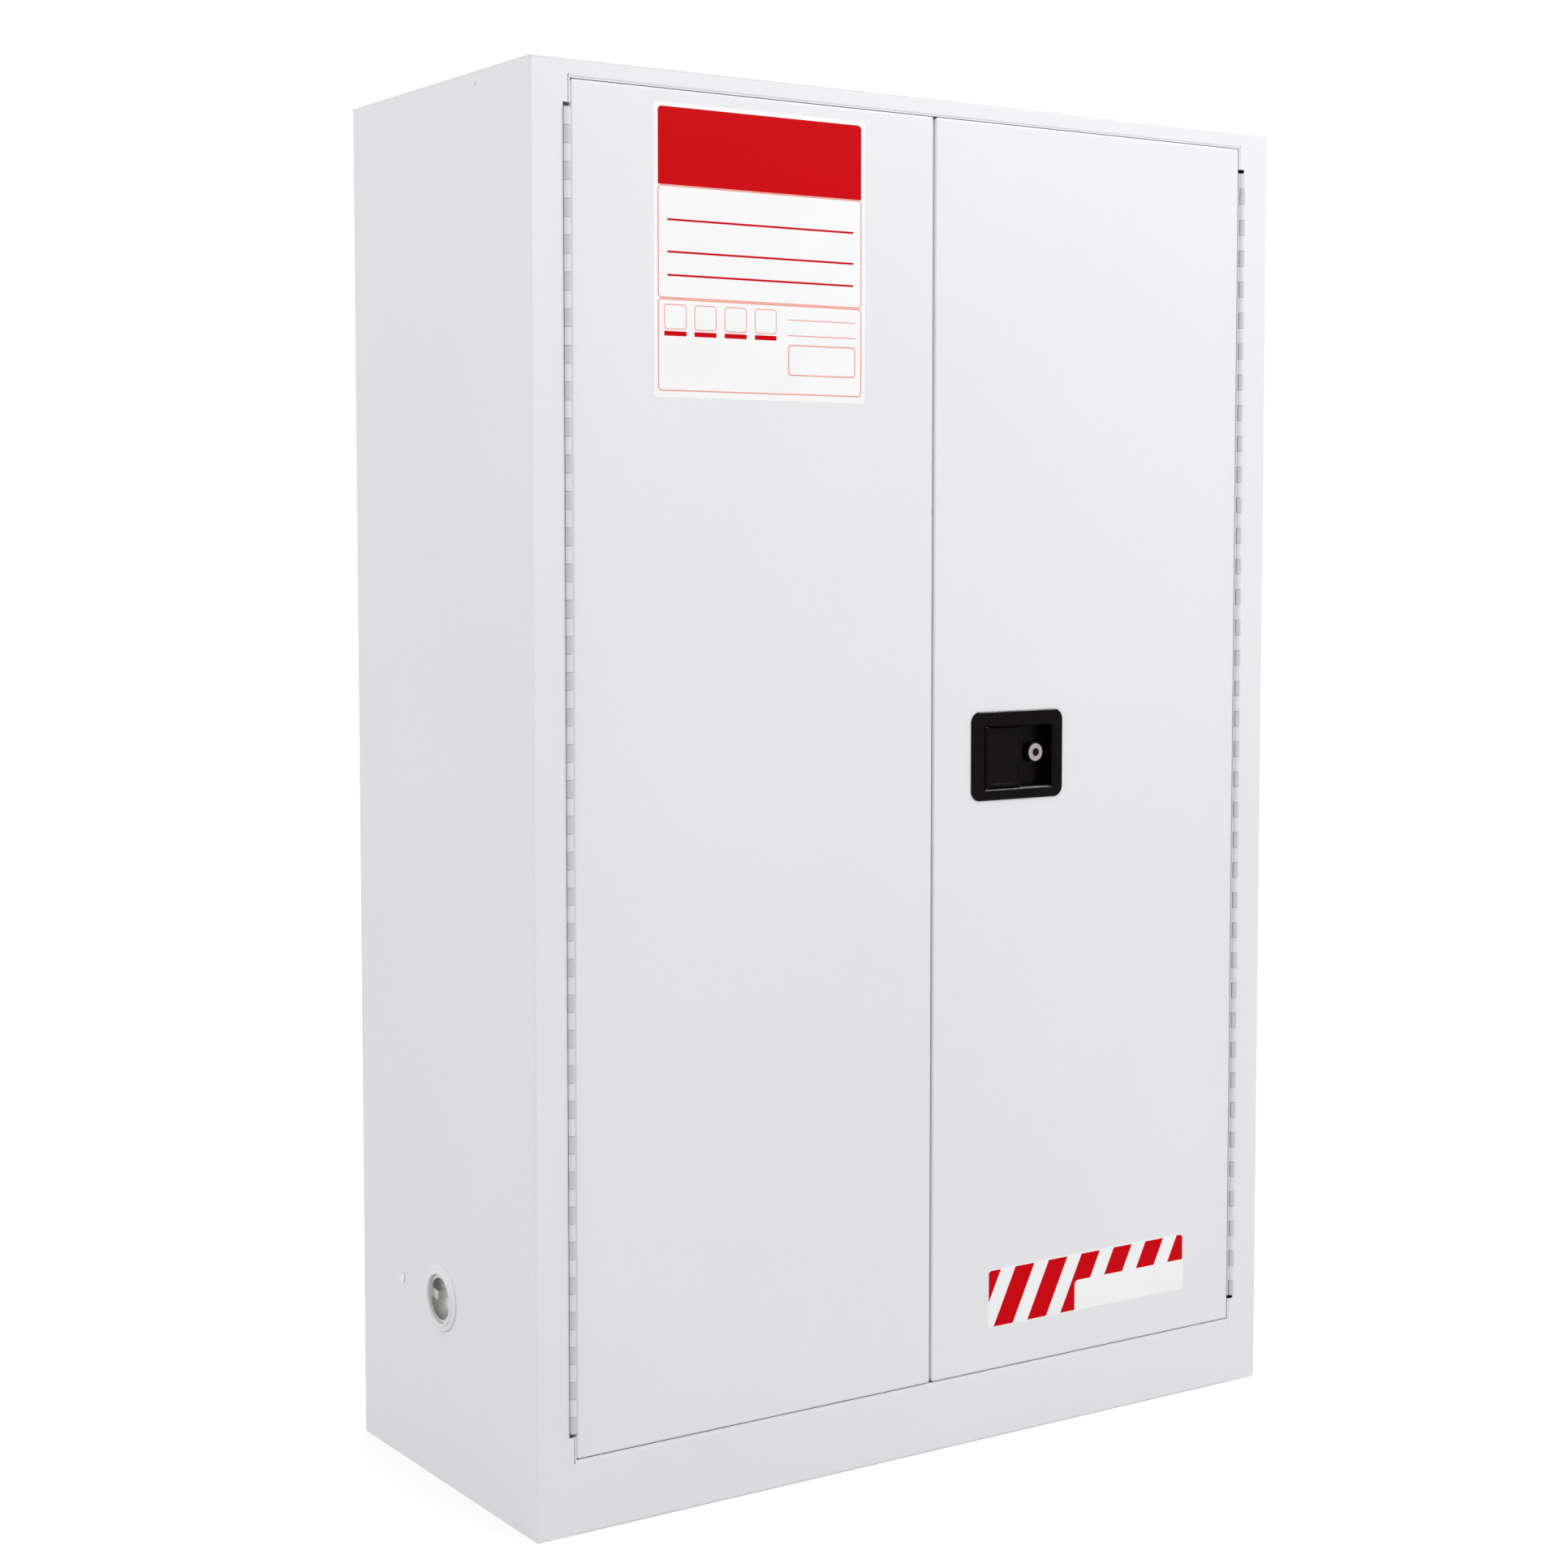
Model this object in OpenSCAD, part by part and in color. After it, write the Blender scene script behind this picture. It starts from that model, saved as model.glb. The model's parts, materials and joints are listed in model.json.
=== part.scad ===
// Two-door double-wall storage cabinet for laboratory chemicals.
// Origin: middle of the base on the floor. +X right, +Y to the back, +Z up; the doors face -Y.

/* [Cabinet] */
// Width over the side panels
cabinet_w = 1090; // [1000:10:1200]
// Depth from the front face to the back panel
cabinet_d = 460; // [450:10:560]
// Height from the floor to the top panel
cabinet_h = 1650; // [1450:10:1850]
// Thickness of the sheet steel
sheet = 1.2; // [1:0.1:1.4]
// Air gap between the outer and the inner shell
air_gap = 38; // [34:1:40]
// Height of the bottom panel above the floor
bottom_lift = 20; // [18:1:26]
// Outer radius of the folds in the panels
fold_r = 3; // [2:0.5:4]
// Width of the turned-in edges of the panels
flange_w = 15; // [12:1:20]

/* [Doorway] */
// Width of the frame face beside each door
stile_w = 48.5; // [46:0.5:54]
// Height of the frame face above the doors
head_h = 19; // [15:1:24]
// Height of the frame face below the doors
sill_h = 85; // [80:1:95]
// Depth of the step that the door rims close into
rebate = 13; // [13:0.5:15]
// Height of the stops behind the top and bottom door edges
stop_h = 28; // [26:1:30]
// Depth of the frame members from the front face
frame_d = 43; // [42:1:48]
// Height of the turned-up edges of the inner floor
sump_h = 50; // [40:1:55]

/* [Doors] */
// Gap along the top and bottom door edges
edge_gap = 1.5; // [1.5:0.25:3]
// Gap between the two doors
meeting_gap = 3; // [2.5:0.5:4]
// Place of the gap between the doors, right of the middle
meeting_x = 3; // [0:1:6]
// Thickness of each door
door_t = 40; // [38:1:42]
// Depth of the rim round the door skin
rim_d = 12; // [11:0.5:12]
// Distance of the inner tray from the top and bottom door edges
tray_setback = 31; // [31:1:34]
// Distance of the inner tray from the meeting edge
meeting_setback = 14; // [13:1:16]
// Radius of the door skin's corners, seen from the front
door_corner_r = 5; // [3:0.5:8]
// Depth of the stiffener behind each door skin
stiffener_d = 20; // [14:1:22]
// Thickness of the strip that closes the gap between the doors
strip_t = 1.5; // [1.2:0.1:2]

/* [Hinges] */
// Outer diameter of the knuckles
knuckle_d = 7; // [6.8:0.1:7.4]
// Diameter of the hinge pins
hinge_pin_d = 4; // [3.6:0.1:4]
// Height of one frame knuckle and one door knuckle together
knuckle_pitch = 40; // [30:5:50]
// Thickness of the hinge leaves
leaf_t = 1.2; // [1:0.1:1.2]
// Depth of the hinge leaves into the doorway
leaf_d = 29; // [22:1:30]

/* [Latch] */
// Width of the latch plate
latch_w = 143; // [140:1:150]
// Height of the latch plate
latch_h = 110; // [106:1:120]
// Thickness of the latch plate
latch_t = 2.5; // [2:0.25:3]
// Distance of the plate's middle from the meeting edge
latch_inset = 128; // [124:1:140]
// Height of the plate's middle above the floor
latch_z = 857.5; // [760:0.5:960]
// Width of the recess in the latch plate
recess_w = 106; // [104:1:110]
// Height of the recess
recess_h = 76; // [72:1:80]
// Wall thickness of the latch housing
housing_t = 2; // [1.5:0.25:2.5]
// Depth of the housing behind the door face
housing_d = 20; // [19:0.5:20]
// Width of the paddle
paddle_w = 58; // [54:1:60]
// Angle that the paddle turns through
paddle_swing = 30; // [20:1:32]
// Diameter of the paddle's pivot pin
pivot_pin_d = 4; // [3:0.5:4.5]
// Diameter of the latch rods
rod_d = 8; // [6:0.5:8]
// Thickness of the slide plate
slide_t = 2.5; // [2:0.25:3]
// Diameter of the lock barrel
lock_d = 18; // [16:1:19]
// Diameter of the key plug
plug_d = 12; // [10:1:12]

/* [Vents] */
// Bore of the vent collars
vent_bore_d = 59; // [50:1:62]
// Diameter of the collar flange
vent_flange_d = 78; // [76:1:84]
// Height of the low vent on the left side
vent_low_z = 222; // [190:1:300]
// Distance of the high vent on the right side from the top
vent_high_drop = 160; // [130:1:300]
// Distance of the vents behind the middle of the sides
vent_y = 9; // [-20:1:20]

/* [Shelves] */
// Height of the shelf edges
shelf_edge_h = 30; // [20:1:40]
// Depth of the shelves
shelf_d = 352; // [300:1:352]
// Slot of the standards that carries the lower shelf
lower_slot = 8; // [5:1:10]
// Slot of the standards that carries the upper shelf
upper_slot = 17; // [14:1:20]
// Pitch of the slots in the shelf standards
slot_pitch = 58; // [50:1:60]

/* [Feet] */
// Diameter of the feet
foot_d = 40; // [34:1:46]
// Diameter of the foot screws
foot_screw_d = 10; // [8:1:12]

/* [Hidden] */

$fn = 48;
BEND_STEPS = 4;
EPS = 0.01;
PAINT = [0.91, 0.91, 0.92];
LINER = [0.86, 0.87, 0.88];
ZINC = [0.72, 0.74, 0.76];
BRIGHT = [0.82, 0.82, 0.84];
BLACK = [0.07, 0.07, 0.08];

// Clearances
running = 0.05;     // a pin in its bore
sliding = 0.3;      // a part that slides past another
slot_play = 0.35;   // a drive pin in its slot
leaf_gap = 0.8;     // frame to door leaf, at the hinge side
short_stop = 0.5;   // the rods, the centre bolt and the lock cam end this far before what they meet

// Cabinet shell
half_w = cabinet_w / 2;
half_d = cabinet_d / 2;
front_y = -half_d;
shell_gap = air_gap + 2 * sheet;
jamb_x = half_w - stile_w;
inner_x = half_w - shell_gap;
inner_back_y = half_d - sheet - shell_gap;
frame_y = front_y + frame_d;
stop_y = front_y + rebate;
panel_top_z = cabinet_h - sheet;
inner_top_z = panel_top_z - air_gap - sheet;
floor_z = bottom_lift + sheet + air_gap + sheet;
bearer_y = 105;
doorway_z0 = sill_h;
doorway_z1 = cabinet_h - head_h;
stop_z0 = doorway_z0 + stop_h;
stop_z1 = doorway_z1 - stop_h;

// Hinges
hinge_proud = 1;
hinge_x = jamb_x + knuckle_d / 2;
hinge_y = front_y - hinge_proud;
notch_play = 0.5;
notch_d = 8;

// Doors, as right-hand doors: x grows towards the hinge
door_x = jamb_x - leaf_gap - leaf_t;
door_z0 = doorway_z0 + edge_gap;
door_z1 = doorway_z1 - edge_gap;
tray_z0 = door_z0 + tray_setback;
tray_z1 = door_z1 - tray_setback;
tray_x = door_x - sheet;
door_back_y = front_y + door_t;
lip_y = front_y + rim_d;
lip_play = 2;
strip_play = 0.4;
right_meet_x = meeting_x + meeting_gap / 2;
left_meet_x = -(meeting_x - meeting_gap / 2);

hinge_count = floor((tray_z1 - tray_z0) / knuckle_pitch);
hinge_l = hinge_count * knuckle_pitch;
hinge_z0 = (tray_z0 + tray_z1 - hinge_l) / 2;
knuckle_play = 0.3;

// Latch, all on the right door
latch_x = right_meet_x + latch_inset;
recess_shift = 2.5;
recess_bevel = 2.5;
recess_r = 2;
cutout_r = recess_r + housing_t + 0.5;
recess_x = latch_x + recess_shift;
slide_z = latch_z - recess_shift;
plate_y = front_y - latch_t;
housing_y = front_y + housing_d;
barrel_r = 5;
paddle_set = 1;
pivot_x = recess_x - recess_w / 2 + barrel_r + short_stop;
pivot_y = plate_y + paddle_set + barrel_r;
slide_y = housing_y + 4;
arm_tip_r = 2.5;
arm_l = slide_y + slide_t + 0.5 - pivot_y;
travel = arm_l * sin(paddle_swing);
rod_x = pivot_x + 40.5;
rod_y = slide_y + slide_t + rod_d / 2 + 2.5;
drive_pin_r = 2.5;
drive_pin_rise = 32;
slide_reach_x = rod_x + drive_pin_r + slot_play + 3.2;
lock_x = recess_x + 34.7;
lock_z = slide_z + 3.3;
lock_seat_y = housing_y - housing_t - 7.5;
cam_t = 2;
cam_reach = lock_x - slide_reach_x - short_stop;
plug_r = plug_d / 2;
stud_r = 2;
stud_x = latch_w / 2 - 9;
stud_z = latch_h / 2 - 8;
screw_slot_x = rod_x - 4;
access_half_h = 50;
shoulder_r = 2.5;

// Vents: the axis runs out of the side wall along local +z, with z = 0 on the outer face
vent_r = vent_bore_d / 2;
collar_wall = 2;
vent_high_z = cabinet_h - vent_high_drop;

// Shelves
standard_d = 12;
standard_w = 25;
standard_y = 120;
standard_z0 = floor_z + sump_h + 6;
standard_z1 = inner_top_z - 8;
slot_h = 14;
slot_w = 5;
hanger_t = 1.5;
hanger_reach = 18;
shelf_x = inner_x - standard_d - hanger_t - sliding;
shelf_y0 = inner_back_y - 6 - shelf_d;

// Feet
foot_x = half_w - 70;
foot_y = half_d - 60;
foot_plate_h = 6;
foot_top_z = floor_z - sheet - 8;
nut_h = 8;

// ---------- helpers ----------

function heading(a, b) = (b - a) / norm(b - a);
function left_of(d) = [-d.y, d.x];
function turned(d, a) = [d.x * cos(a) - d.y * sin(a), d.x * sin(a) + d.y * cos(a)];

// Places and directions along a folded strip's centre line, with an arc of radius r at each fold
function fold_stations(path, r) = concat(
    [[path[0], heading(path[0], path[1])]],
    [for (i = [1:len(path) - 2])
        let (d0 = heading(path[i - 1], path[i]), d1 = heading(path[i], path[i + 1]),
            turn = atan2(d0.x * d1.y - d0.y * d1.x, d0 * d1), side = sign(turn),
            centre = path[i] - r * tan(abs(turn) / 2) * d0 + side * r * left_of(d0))
        for (k = [0:BEND_STEPS])
            let (d = turned(d0, turn * k / BEND_STEPS)) [centre - side * r * left_of(d), d]],
    [[path[len(path) - 1], heading(path[len(path) - 2], path[len(path) - 1])]]);

// Outline of a strip of thickness t folded along a centre line
function fold_outline(path, t, r) = let (s = fold_stations(path, r)) concat(
    [for (q = s) q[0] + t / 2 * left_of(q[1])],
    [for (i = [len(s) - 1:-1:0]) s[i][0] - t / 2 * left_of(s[i][1])]);

// Corner-rounded rectangle from [x0, y0] to [x1, y1]
function round_rect(x0, y0, x1, y1, r, steps = 6) = [
    for (c = [[x1 - r, y1 - r, 0], [x0 + r, y1 - r, 90], [x0 + r, y0 + r, 180], [x1 - r, y0 + r, 270]])
        for (k = [0:steps]) [c[0] + r * cos(c[2] + 90 * k / steps), c[1] + r * sin(c[2] + 90 * k / steps)]];

// A folded sheet whose outline lies across the extrusion
module folded(path, t = sheet, r = fold_r) polygon(fold_outline(path, t, r - t / 2));

module along_x(x0, x1) translate([x0, 0, 0]) rotate([90, 0, 90]) linear_extrude(x1 - x0) children();
module along_y(y0, y1) translate([0, y1, 0]) rotate([90, 0, 0]) linear_extrude(y1 - y0) children();
module along_z(z0, z1) translate([0, 0, z0]) linear_extrude(z1 - z0) children();

// Box between two corners
module block(a, b) translate(a) cube(b - a);

// Cylinder along +Y between two planes
module pin_y(x, z, y0, y1, r) translate([x, y0, z]) rotate([-90, 0, 0]) cylinder(r = r, h = y1 - y0);

// Ring along Z
module ring(r, bore, z0, z1) translate([0, 0, z0]) difference() {
    cylinder(r = r, h = z1 - z0);
    translate([0, 0, -EPS]) cylinder(r = bore, h = z1 - z0 + 2 * EPS);
}

// Everything is drawn for the right side; the left side is its mirror image
module on_side(s) mirror([s > 0 ? 0 : 1, 0, 0]) children();
module both_sides() for (s = [-1, 1]) on_side(s) children();

// Block seen from the front with round corners, its front edges rounded too
module soft_block(x0, x1, z0, z1, y0, y1, corner, edge) {
    far = y1 + edge;
    intersection() {
        along_y(y0, y1) polygon(round_rect(x0, z0, x1, z1, corner));
        along_z(z0, z1) polygon(round_rect(x0, y0, x1, far + edge, edge));
        along_x(x0, x1) polygon(round_rect(y0, z0, far + edge, z1, edge));
    }
}

// ---------- shell ----------

// Side panel, stile and jamb in one fold
module outer_side(holes) {
    side_x = half_w - sheet / 2;
    plan = [[half_w - flange_w, half_d - 1.5 * sheet], [side_x, half_d - 1.5 * sheet],
        [side_x, front_y + sheet / 2], [jamb_x + sheet / 2, front_y + sheet / 2],
        [jamb_x + sheet / 2, frame_y - sheet / 2], [inner_x + sheet, frame_y - sheet / 2]];
    color(PAINT) difference() {
        along_z(0, panel_top_z) folded(plan);
        block([jamb_x - 1, front_y - 1, stop_z0],
            [hinge_x + knuckle_d / 2 + notch_play, front_y + notch_d, stop_z1]);
        at_rivet() cylinder(r = rivet_r + running, h = 10, center = true);
        children();
    }
}
module outer_side_left() on_side(-1) outer_side() {
    union() {
        at_vent(vent_low_z) cylinder(r = vent_r + collar_wall + sliding, h = 10, center = true);
        at_ground_screw() cylinder(r = ground_r + sliding, h = 10, center = true);
    }
}
module outer_side_right() outer_side() {
    at_vent(vent_high_z) cylinder(r = vent_r + collar_wall + sliding, h = 10, center = true);
}

module outer_back() color(PAINT)
    block([-half_w + fold_r, half_d - sheet, 0], [half_w - fold_r, half_d, panel_top_z]);

module outer_top() {
    tab_x = half_w - 1.5 * sheet;
    tab_z = panel_top_z - 24;
    color(PAINT) {
        block([-half_w, front_y, panel_top_z], [half_w, half_d, cabinet_h]);
        both_sides() difference() {
            along_y(frame_y, half_d - 2 * sheet - fold_r) folded([[tab_x, tab_z],
                [tab_x, panel_top_z + sheet / 2], [tab_x - flange_w, panel_top_z + sheet / 2]]);
            at_rivet() cylinder(r = rivet_r + running, h = 10, center = true);
        }
    }
}

module outer_bottom() {
    z1 = bottom_lift + sheet;
    color(PAINT) difference() {
        union() {
            block([-jamb_x, front_y + sheet, bottom_lift], [jamb_x, frame_y + EPS, z1]);
            block([-half_w + sheet, frame_y, bottom_lift], [half_w - sheet, half_d - 2 * sheet, z1]);
        }
        both_sides() block([half_w - sheet - fold_r, half_d - 2 * sheet - fold_r, 0], [half_w, half_d, 2 * z1]);
        at_feet() cylinder(r = foot_screw_d / 2 + sliding, h = 200, center = true);
    }
}

// Frame face, step, stop and inner edge above the doors
module head_rail() {
    face_y = front_y + sheet / 2;
    back_y = frame_y - sheet / 2;
    color(PAINT) difference() {
        along_x(-jamb_x, jamb_x) folded([[face_y, panel_top_z], [face_y, doorway_z1 + sheet / 2],
            [stop_y + sheet / 2, doorway_z1 + sheet / 2], [stop_y + sheet / 2, stop_z1 + sheet / 2],
            [back_y, stop_z1 + sheet / 2], [back_y, panel_top_z]], r = 2);
        rod_hole(stop_z1);
    }
}

// The same below the doors, with a foot that stands on the floor
module sill_rail() {
    face_y = front_y + sheet / 2;
    back_y = frame_y - sheet / 2;
    color(PAINT) difference() {
        along_x(-jamb_x, jamb_x) folded([[face_y + 25, sheet / 2], [face_y, sheet / 2],
            [face_y, doorway_z0 - sheet / 2], [stop_y + sheet / 2, doorway_z0 - sheet / 2],
            [stop_y + sheet / 2, stop_z0 - sheet / 2], [back_y, stop_z0 - sheet / 2],
            [back_y, bottom_lift + sheet]], r = 2);
        rod_hole(stop_z0);
    }
}

module rod_hole(z) translate([rod_x, rod_y, z]) cylinder(r = rod_d / 2 + 1, h = 8, center = true);

keeper_half_w = 22;
keeper_t = 2;

// Strike plates in the head and the sill, where the rods would enter
module rod_keepers() {
    y0 = stop_y + sheet + 5;
    y1 = frame_y - sheet - 1.5;
    color(ZINC) for (z = [stop_z1 + sheet, stop_z0 - sheet - keeper_t]) difference() {
        block([rod_x - keeper_half_w, y0, z], [rod_x + keeper_half_w, y1, z + keeper_t]);
        translate([rod_x, rod_y, z - 1]) cylinder(r = rod_d / 2 + 0.6, h = 2 * keeper_t);
    }
}

module inner_side(vent_z) color(LINER) difference() {
    block([inner_x, frame_y, floor_z], [inner_x + sheet, inner_back_y + sheet, inner_top_z + sheet]);
    at_vent(vent_z) cylinder(r = vent_r + collar_wall + sliding, h = 3 * shell_gap, center = true);
}
module inner_side_left() on_side(-1) inner_side(vent_low_z);
module inner_side_right() inner_side(vent_high_z);

module inner_back() color(LINER)
    block([-inner_x, inner_back_y, floor_z], [inner_x, inner_back_y + sheet, inner_top_z + sheet]);

module inner_top() color(LINER)
    block([-inner_x, frame_y, inner_top_z], [inner_x, inner_back_y, inner_top_z + sheet]);

// Leakproof tray: the plate with four turned-up edges
module inner_floor() {
    rim_z = floor_z + sump_h;
    mid_z = floor_z - sheet / 2;
    color(LINER) difference() {
        union() {
            block([-inner_x, frame_y, floor_z - sheet], [inner_x, inner_back_y, rim_z]);
            block([-inner_x - sheet, frame_y, floor_z - sheet],
                [inner_x + sheet, inner_back_y + sheet, floor_z]);
        }
        block([-inner_x + sheet, frame_y + sheet, floor_z],
            [inner_x - sheet, inner_back_y - sheet, rim_z + 1]);
    }
}

// Channels that carry the inner floor on the bottom panel
module floor_bearers() {
    z0 = bottom_lift + 1.5 * sheet;
    z1 = floor_z - 1.5 * sheet;
    color(ZINC) for (y = [-bearer_y, 0, bearer_y])
        along_x(-inner_x, inner_x) folded([[y - 20, z0], [y, z0], [y, z1], [y - 20, z1]]);
}

// Channels that hold the two shells apart
module wall_spacers() {
    z0 = floor_z + 20;
    z1 = inner_top_z - 10;
    x0 = inner_x + 1.5 * sheet;
    x1 = half_w - 1.5 * sheet;
    y0 = inner_back_y + 1.5 * sheet;
    y1 = half_d - 1.5 * sheet;
    t0 = inner_top_z + 1.5 * sheet;
    t1 = panel_top_z - sheet / 2;
    color(ZINC) {
        both_sides() for (y = [-bearer_y, bearer_y])
            along_z(z0, z1) folded([[x0, y - 15], [x0, y], [x1, y], [x1, y - 15]]);
        for (x = [-300, 0, 300])
            along_z(z0, z1) folded([[x - 15, y0], [x, y0], [x, y1], [x - 15, y1]]);
        for (x = [-250, 250])
            along_y(frame_y + 12, inner_back_y - 12)
                folded([[x - 15, t0], [x, t0], [x, t1], [x - 15, t1]]);
    }
}

// ---------- shelves ----------

function slot_z(k) = standard_z0 + slot_h + k * slot_pitch;
slot_count = floor((standard_z1 - standard_z0 - 2 * slot_h) / slot_pitch);
function shelf_z(k) = slot_z(k) + shelf_edge_h;

module shelf_standards() color(ZINC) for (y = [-standard_y, standard_y]) difference() {
    block([inner_x - standard_d, y - standard_w / 2, standard_z0], [inner_x, y + standard_w / 2, standard_z1]);
    block([inner_x - standard_d + 1.5, y - standard_w / 2 + 1.5, standard_z0 - 1],
        [inner_x + 1, y + standard_w / 2 - 1.5, standard_z1 + 1]);
    for (k = [0:slot_count])
        block([inner_x - standard_d - 1, y - slot_w / 2, slot_z(k) - slot_h / 2],
            [inner_x - standard_d + 3, y + slot_w / 2, slot_z(k) + slot_h / 2]);
}
module shelf_standards_left() on_side(-1) shelf_standards();
module shelf_standards_right() shelf_standards();

// Clips: a ledge under the shelf's end, a back plate and a hook through the slot
module shelf_hangers() {
    face_x = inner_x - standard_d;
    color(ZINC) both_sides() for (y = [-standard_y, standard_y], k = [lower_slot, upper_slot])
        translate([0, y, slot_z(k)]) {
            along_y(-standard_w / 2, standard_w / 2)
                folded([[face_x - hanger_t / 2, 12], [face_x - hanger_t / 2, -hanger_t / 2],
                    [face_x - hanger_reach, -hanger_t / 2]], t = hanger_t, r = hanger_t + sliding / 2);
            block([face_x - EPS, -slot_w / 2 + sliding, 0], [face_x + 4, slot_w / 2 - sliding, 5]);
            block([face_x + 2, -slot_w / 2 + sliding, -4], [face_x + 4, slot_w / 2 - sliding, 5]);
        }
}

// Sheet folded down along its four edges, hemmed at the front and the back
module shelf(k) {
    z = shelf_z(k);
    y1 = shelf_y0 + shelf_d;
    foot = z - shelf_edge_h + sheet / 2;
    color(BRIGHT) {
        along_x(-shelf_x + fold_r, shelf_x - fold_r)
            folded([[shelf_y0 + flange_w, foot], [shelf_y0 + sheet / 2, foot],
                [shelf_y0 + sheet / 2, z - sheet / 2], [y1 - sheet / 2, z - sheet / 2],
                [y1 - sheet / 2, foot], [y1 - flange_w, foot]]);
        along_y(shelf_y0 + fold_r, y1 - fold_r)
            folded([[-shelf_x + sheet / 2, foot - sheet / 2], [-shelf_x + sheet / 2, z - sheet / 2],
                [shelf_x - sheet / 2, z - sheet / 2], [shelf_x - sheet / 2, foot - sheet / 2]]);
    }
}
module shelf_lower() shelf(lower_slot);
module shelf_upper() shelf(upper_slot);

// ---------- hinges ----------

module at_hinge() translate([hinge_x, hinge_y, 0]) children();

// Every other knuckle, from the first (0) or the second (1)
module knuckles(phase) for (i = [0:hinge_count - 1]) {
    z = hinge_z0 + (i + phase / 2) * knuckle_pitch;
    at_hinge() ring(knuckle_d / 2, hinge_pin_d / 2 + running,
        z + knuckle_play / 2, z + knuckle_pitch / 2 - knuckle_play / 2);
}

// The leaf lies on the hidden side of the jamb
module hinge_frame_leaf() {
    back = jamb_x + sheet;
    color(PAINT) {
        knuckles(0);
        block([back, hinge_y + 10, hinge_z0], [back + leaf_t, front_y + leaf_d, hinge_z0 + hinge_l]);
        for (i = [0:hinge_count - 1]) {
            z = hinge_z0 + i * knuckle_pitch;
            block([back, hinge_y + hinge_pin_d / 2 + 0.2, z + knuckle_play / 2],
                [back + leaf_t, hinge_y + 10 + EPS, z + (knuckle_pitch - knuckle_play) / 2]);
        }
    }
}
module hinge_frame_leaf_left() on_side(-1) hinge_frame_leaf();
module hinge_frame_leaf_right() hinge_frame_leaf();

// The leaf lies on the edge of the door and steps across to its knuckles
module hinge_door_leaf() {
    step_y = hinge_y + 0.6;
    color(PAINT) {
        knuckles(1);
        block([door_x, step_y, hinge_z0], [door_x + leaf_t, front_y + leaf_d, hinge_z0 + hinge_l]);
        for (i = [0:hinge_count - 1]) {
            z = hinge_z0 + (i + 0.5) * knuckle_pitch;
            block([door_x + EPS, step_y, z + knuckle_play / 2],
                [hinge_x - hinge_pin_d / 2 - 0.2, step_y + leaf_t, z + (knuckle_pitch - knuckle_play) / 2]);
        }
    }
}
module hinge_door_leaf_left() on_side(-1) hinge_door_leaf();
module hinge_door_leaf_right() hinge_door_leaf();

module hinge_pins() color(ZINC) both_sides() at_hinge()
    translate([0, 0, hinge_z0]) cylinder(d = hinge_pin_d, h = hinge_l);

// ---------- doors ----------

// Front sheet with its rim, lips and the deep edge that carries the hinge leaf
module door_skin(meet_x) color(PAINT) difference() {
    union() {
        difference() {
            soft_block(meet_x, door_x, door_z0, door_z1, front_y, lip_y, door_corner_r, fold_r);
            soft_block(meet_x + sheet, tray_x, door_z0 + sheet, door_z1 - sheet,
                front_y + sheet, lip_y + 1, door_corner_r - sheet, fold_r - sheet);
        }
        along_y(lip_y - sheet, lip_y) difference() {
            polygon(round_rect(meet_x, door_z0, door_x, door_z1, door_corner_r));
            translate([meet_x + meeting_setback - lip_play, tray_z0 - lip_play])
                square([tray_x - meet_x - meeting_setback + lip_play, tray_z1 - tray_z0 + 2 * lip_play]);
        }
        block([tray_x, lip_y - 2 * sheet, tray_z0], [door_x, door_back_y, tray_z1]);
    }
    children();
}
module left_door_skin() on_side(-1) door_skin(left_meet_x);
module right_door_skin() door_skin(right_meet_x) {
    union() {
        latch_outline(recess_w + 2 * housing_t + 1, recess_h + 2 * housing_t + 1, cutout_r,
            front_y - 1, front_y + rim_d / 2);
        at_studs() pin_y(0, 0, front_y - 1, front_y + 4, stud_r + sliding);
    }
}

// Inner sheet of the door: a tray, with its flange held behind the lips of the skin
module door_tray(meet_x) {
    x0 = meet_x + meeting_setback;
    flange_y = lip_y - 2 * sheet;
    reach = lip_play + 2;
    color(LINER) difference() {
        union() {
            mirror([0, 1, 0]) soft_block(x0, tray_x, tray_z0, tray_z1, -door_back_y, -flange_y,
                door_corner_r, fold_r);
            block([meet_x + reach, flange_y, door_z0 + reach], [tray_x, flange_y + sheet, door_z1 - reach]);
        }
        mirror([0, 1, 0]) soft_block(x0 + sheet, tray_x - sheet, tray_z0 + sheet, tray_z1 - sheet,
            -door_back_y + sheet, -flange_y + 1, door_corner_r - sheet, fold_r - sheet);
        children();
    }
}
module left_door_tray() on_side(-1) door_tray(left_meet_x);
module right_door_tray() door_tray(right_meet_x) {
    union() {
        access_cut(0, door_back_y - 2 * sheet, door_back_y + 1);
        block([right_meet_x + 5, slide_y - sliding, slide_z - bolt_h / 2 - sliding],
            [right_meet_x + meeting_setback + 10, slide_y + slide_t + sliding, slide_z + bolt_h / 2 + sliding]);
        for (z = [tray_z0, tray_z1]) translate([rod_x, rod_y, z])
            cylinder(r = rod_d / 2 + sliding, h = 6, center = true);
    }
}

hat_half_w = 28;
brim_w = 17;

// Hat channel behind the skin
module door_stiffener(x) {
    y0 = front_y + 1.5 * sheet;
    y1 = front_y + stiffener_d;
    brim = hat_half_w + brim_w;
    color(ZINC) along_z(tray_z0 + fold_r * 4, tray_z1 - fold_r * 4)
        folded([[x - brim, y0], [x - hat_half_w, y0], [x - hat_half_w, y1],
            [x + hat_half_w, y1], [x + hat_half_w, y0], [x + brim, y0]]);
}
stiffener_x = (door_x + lock_x) / 2 + 15;
module left_door_stiffener() on_side(-1) door_stiffener(stiffener_x);
module right_door_stiffener() door_stiffener(stiffener_x);

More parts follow.
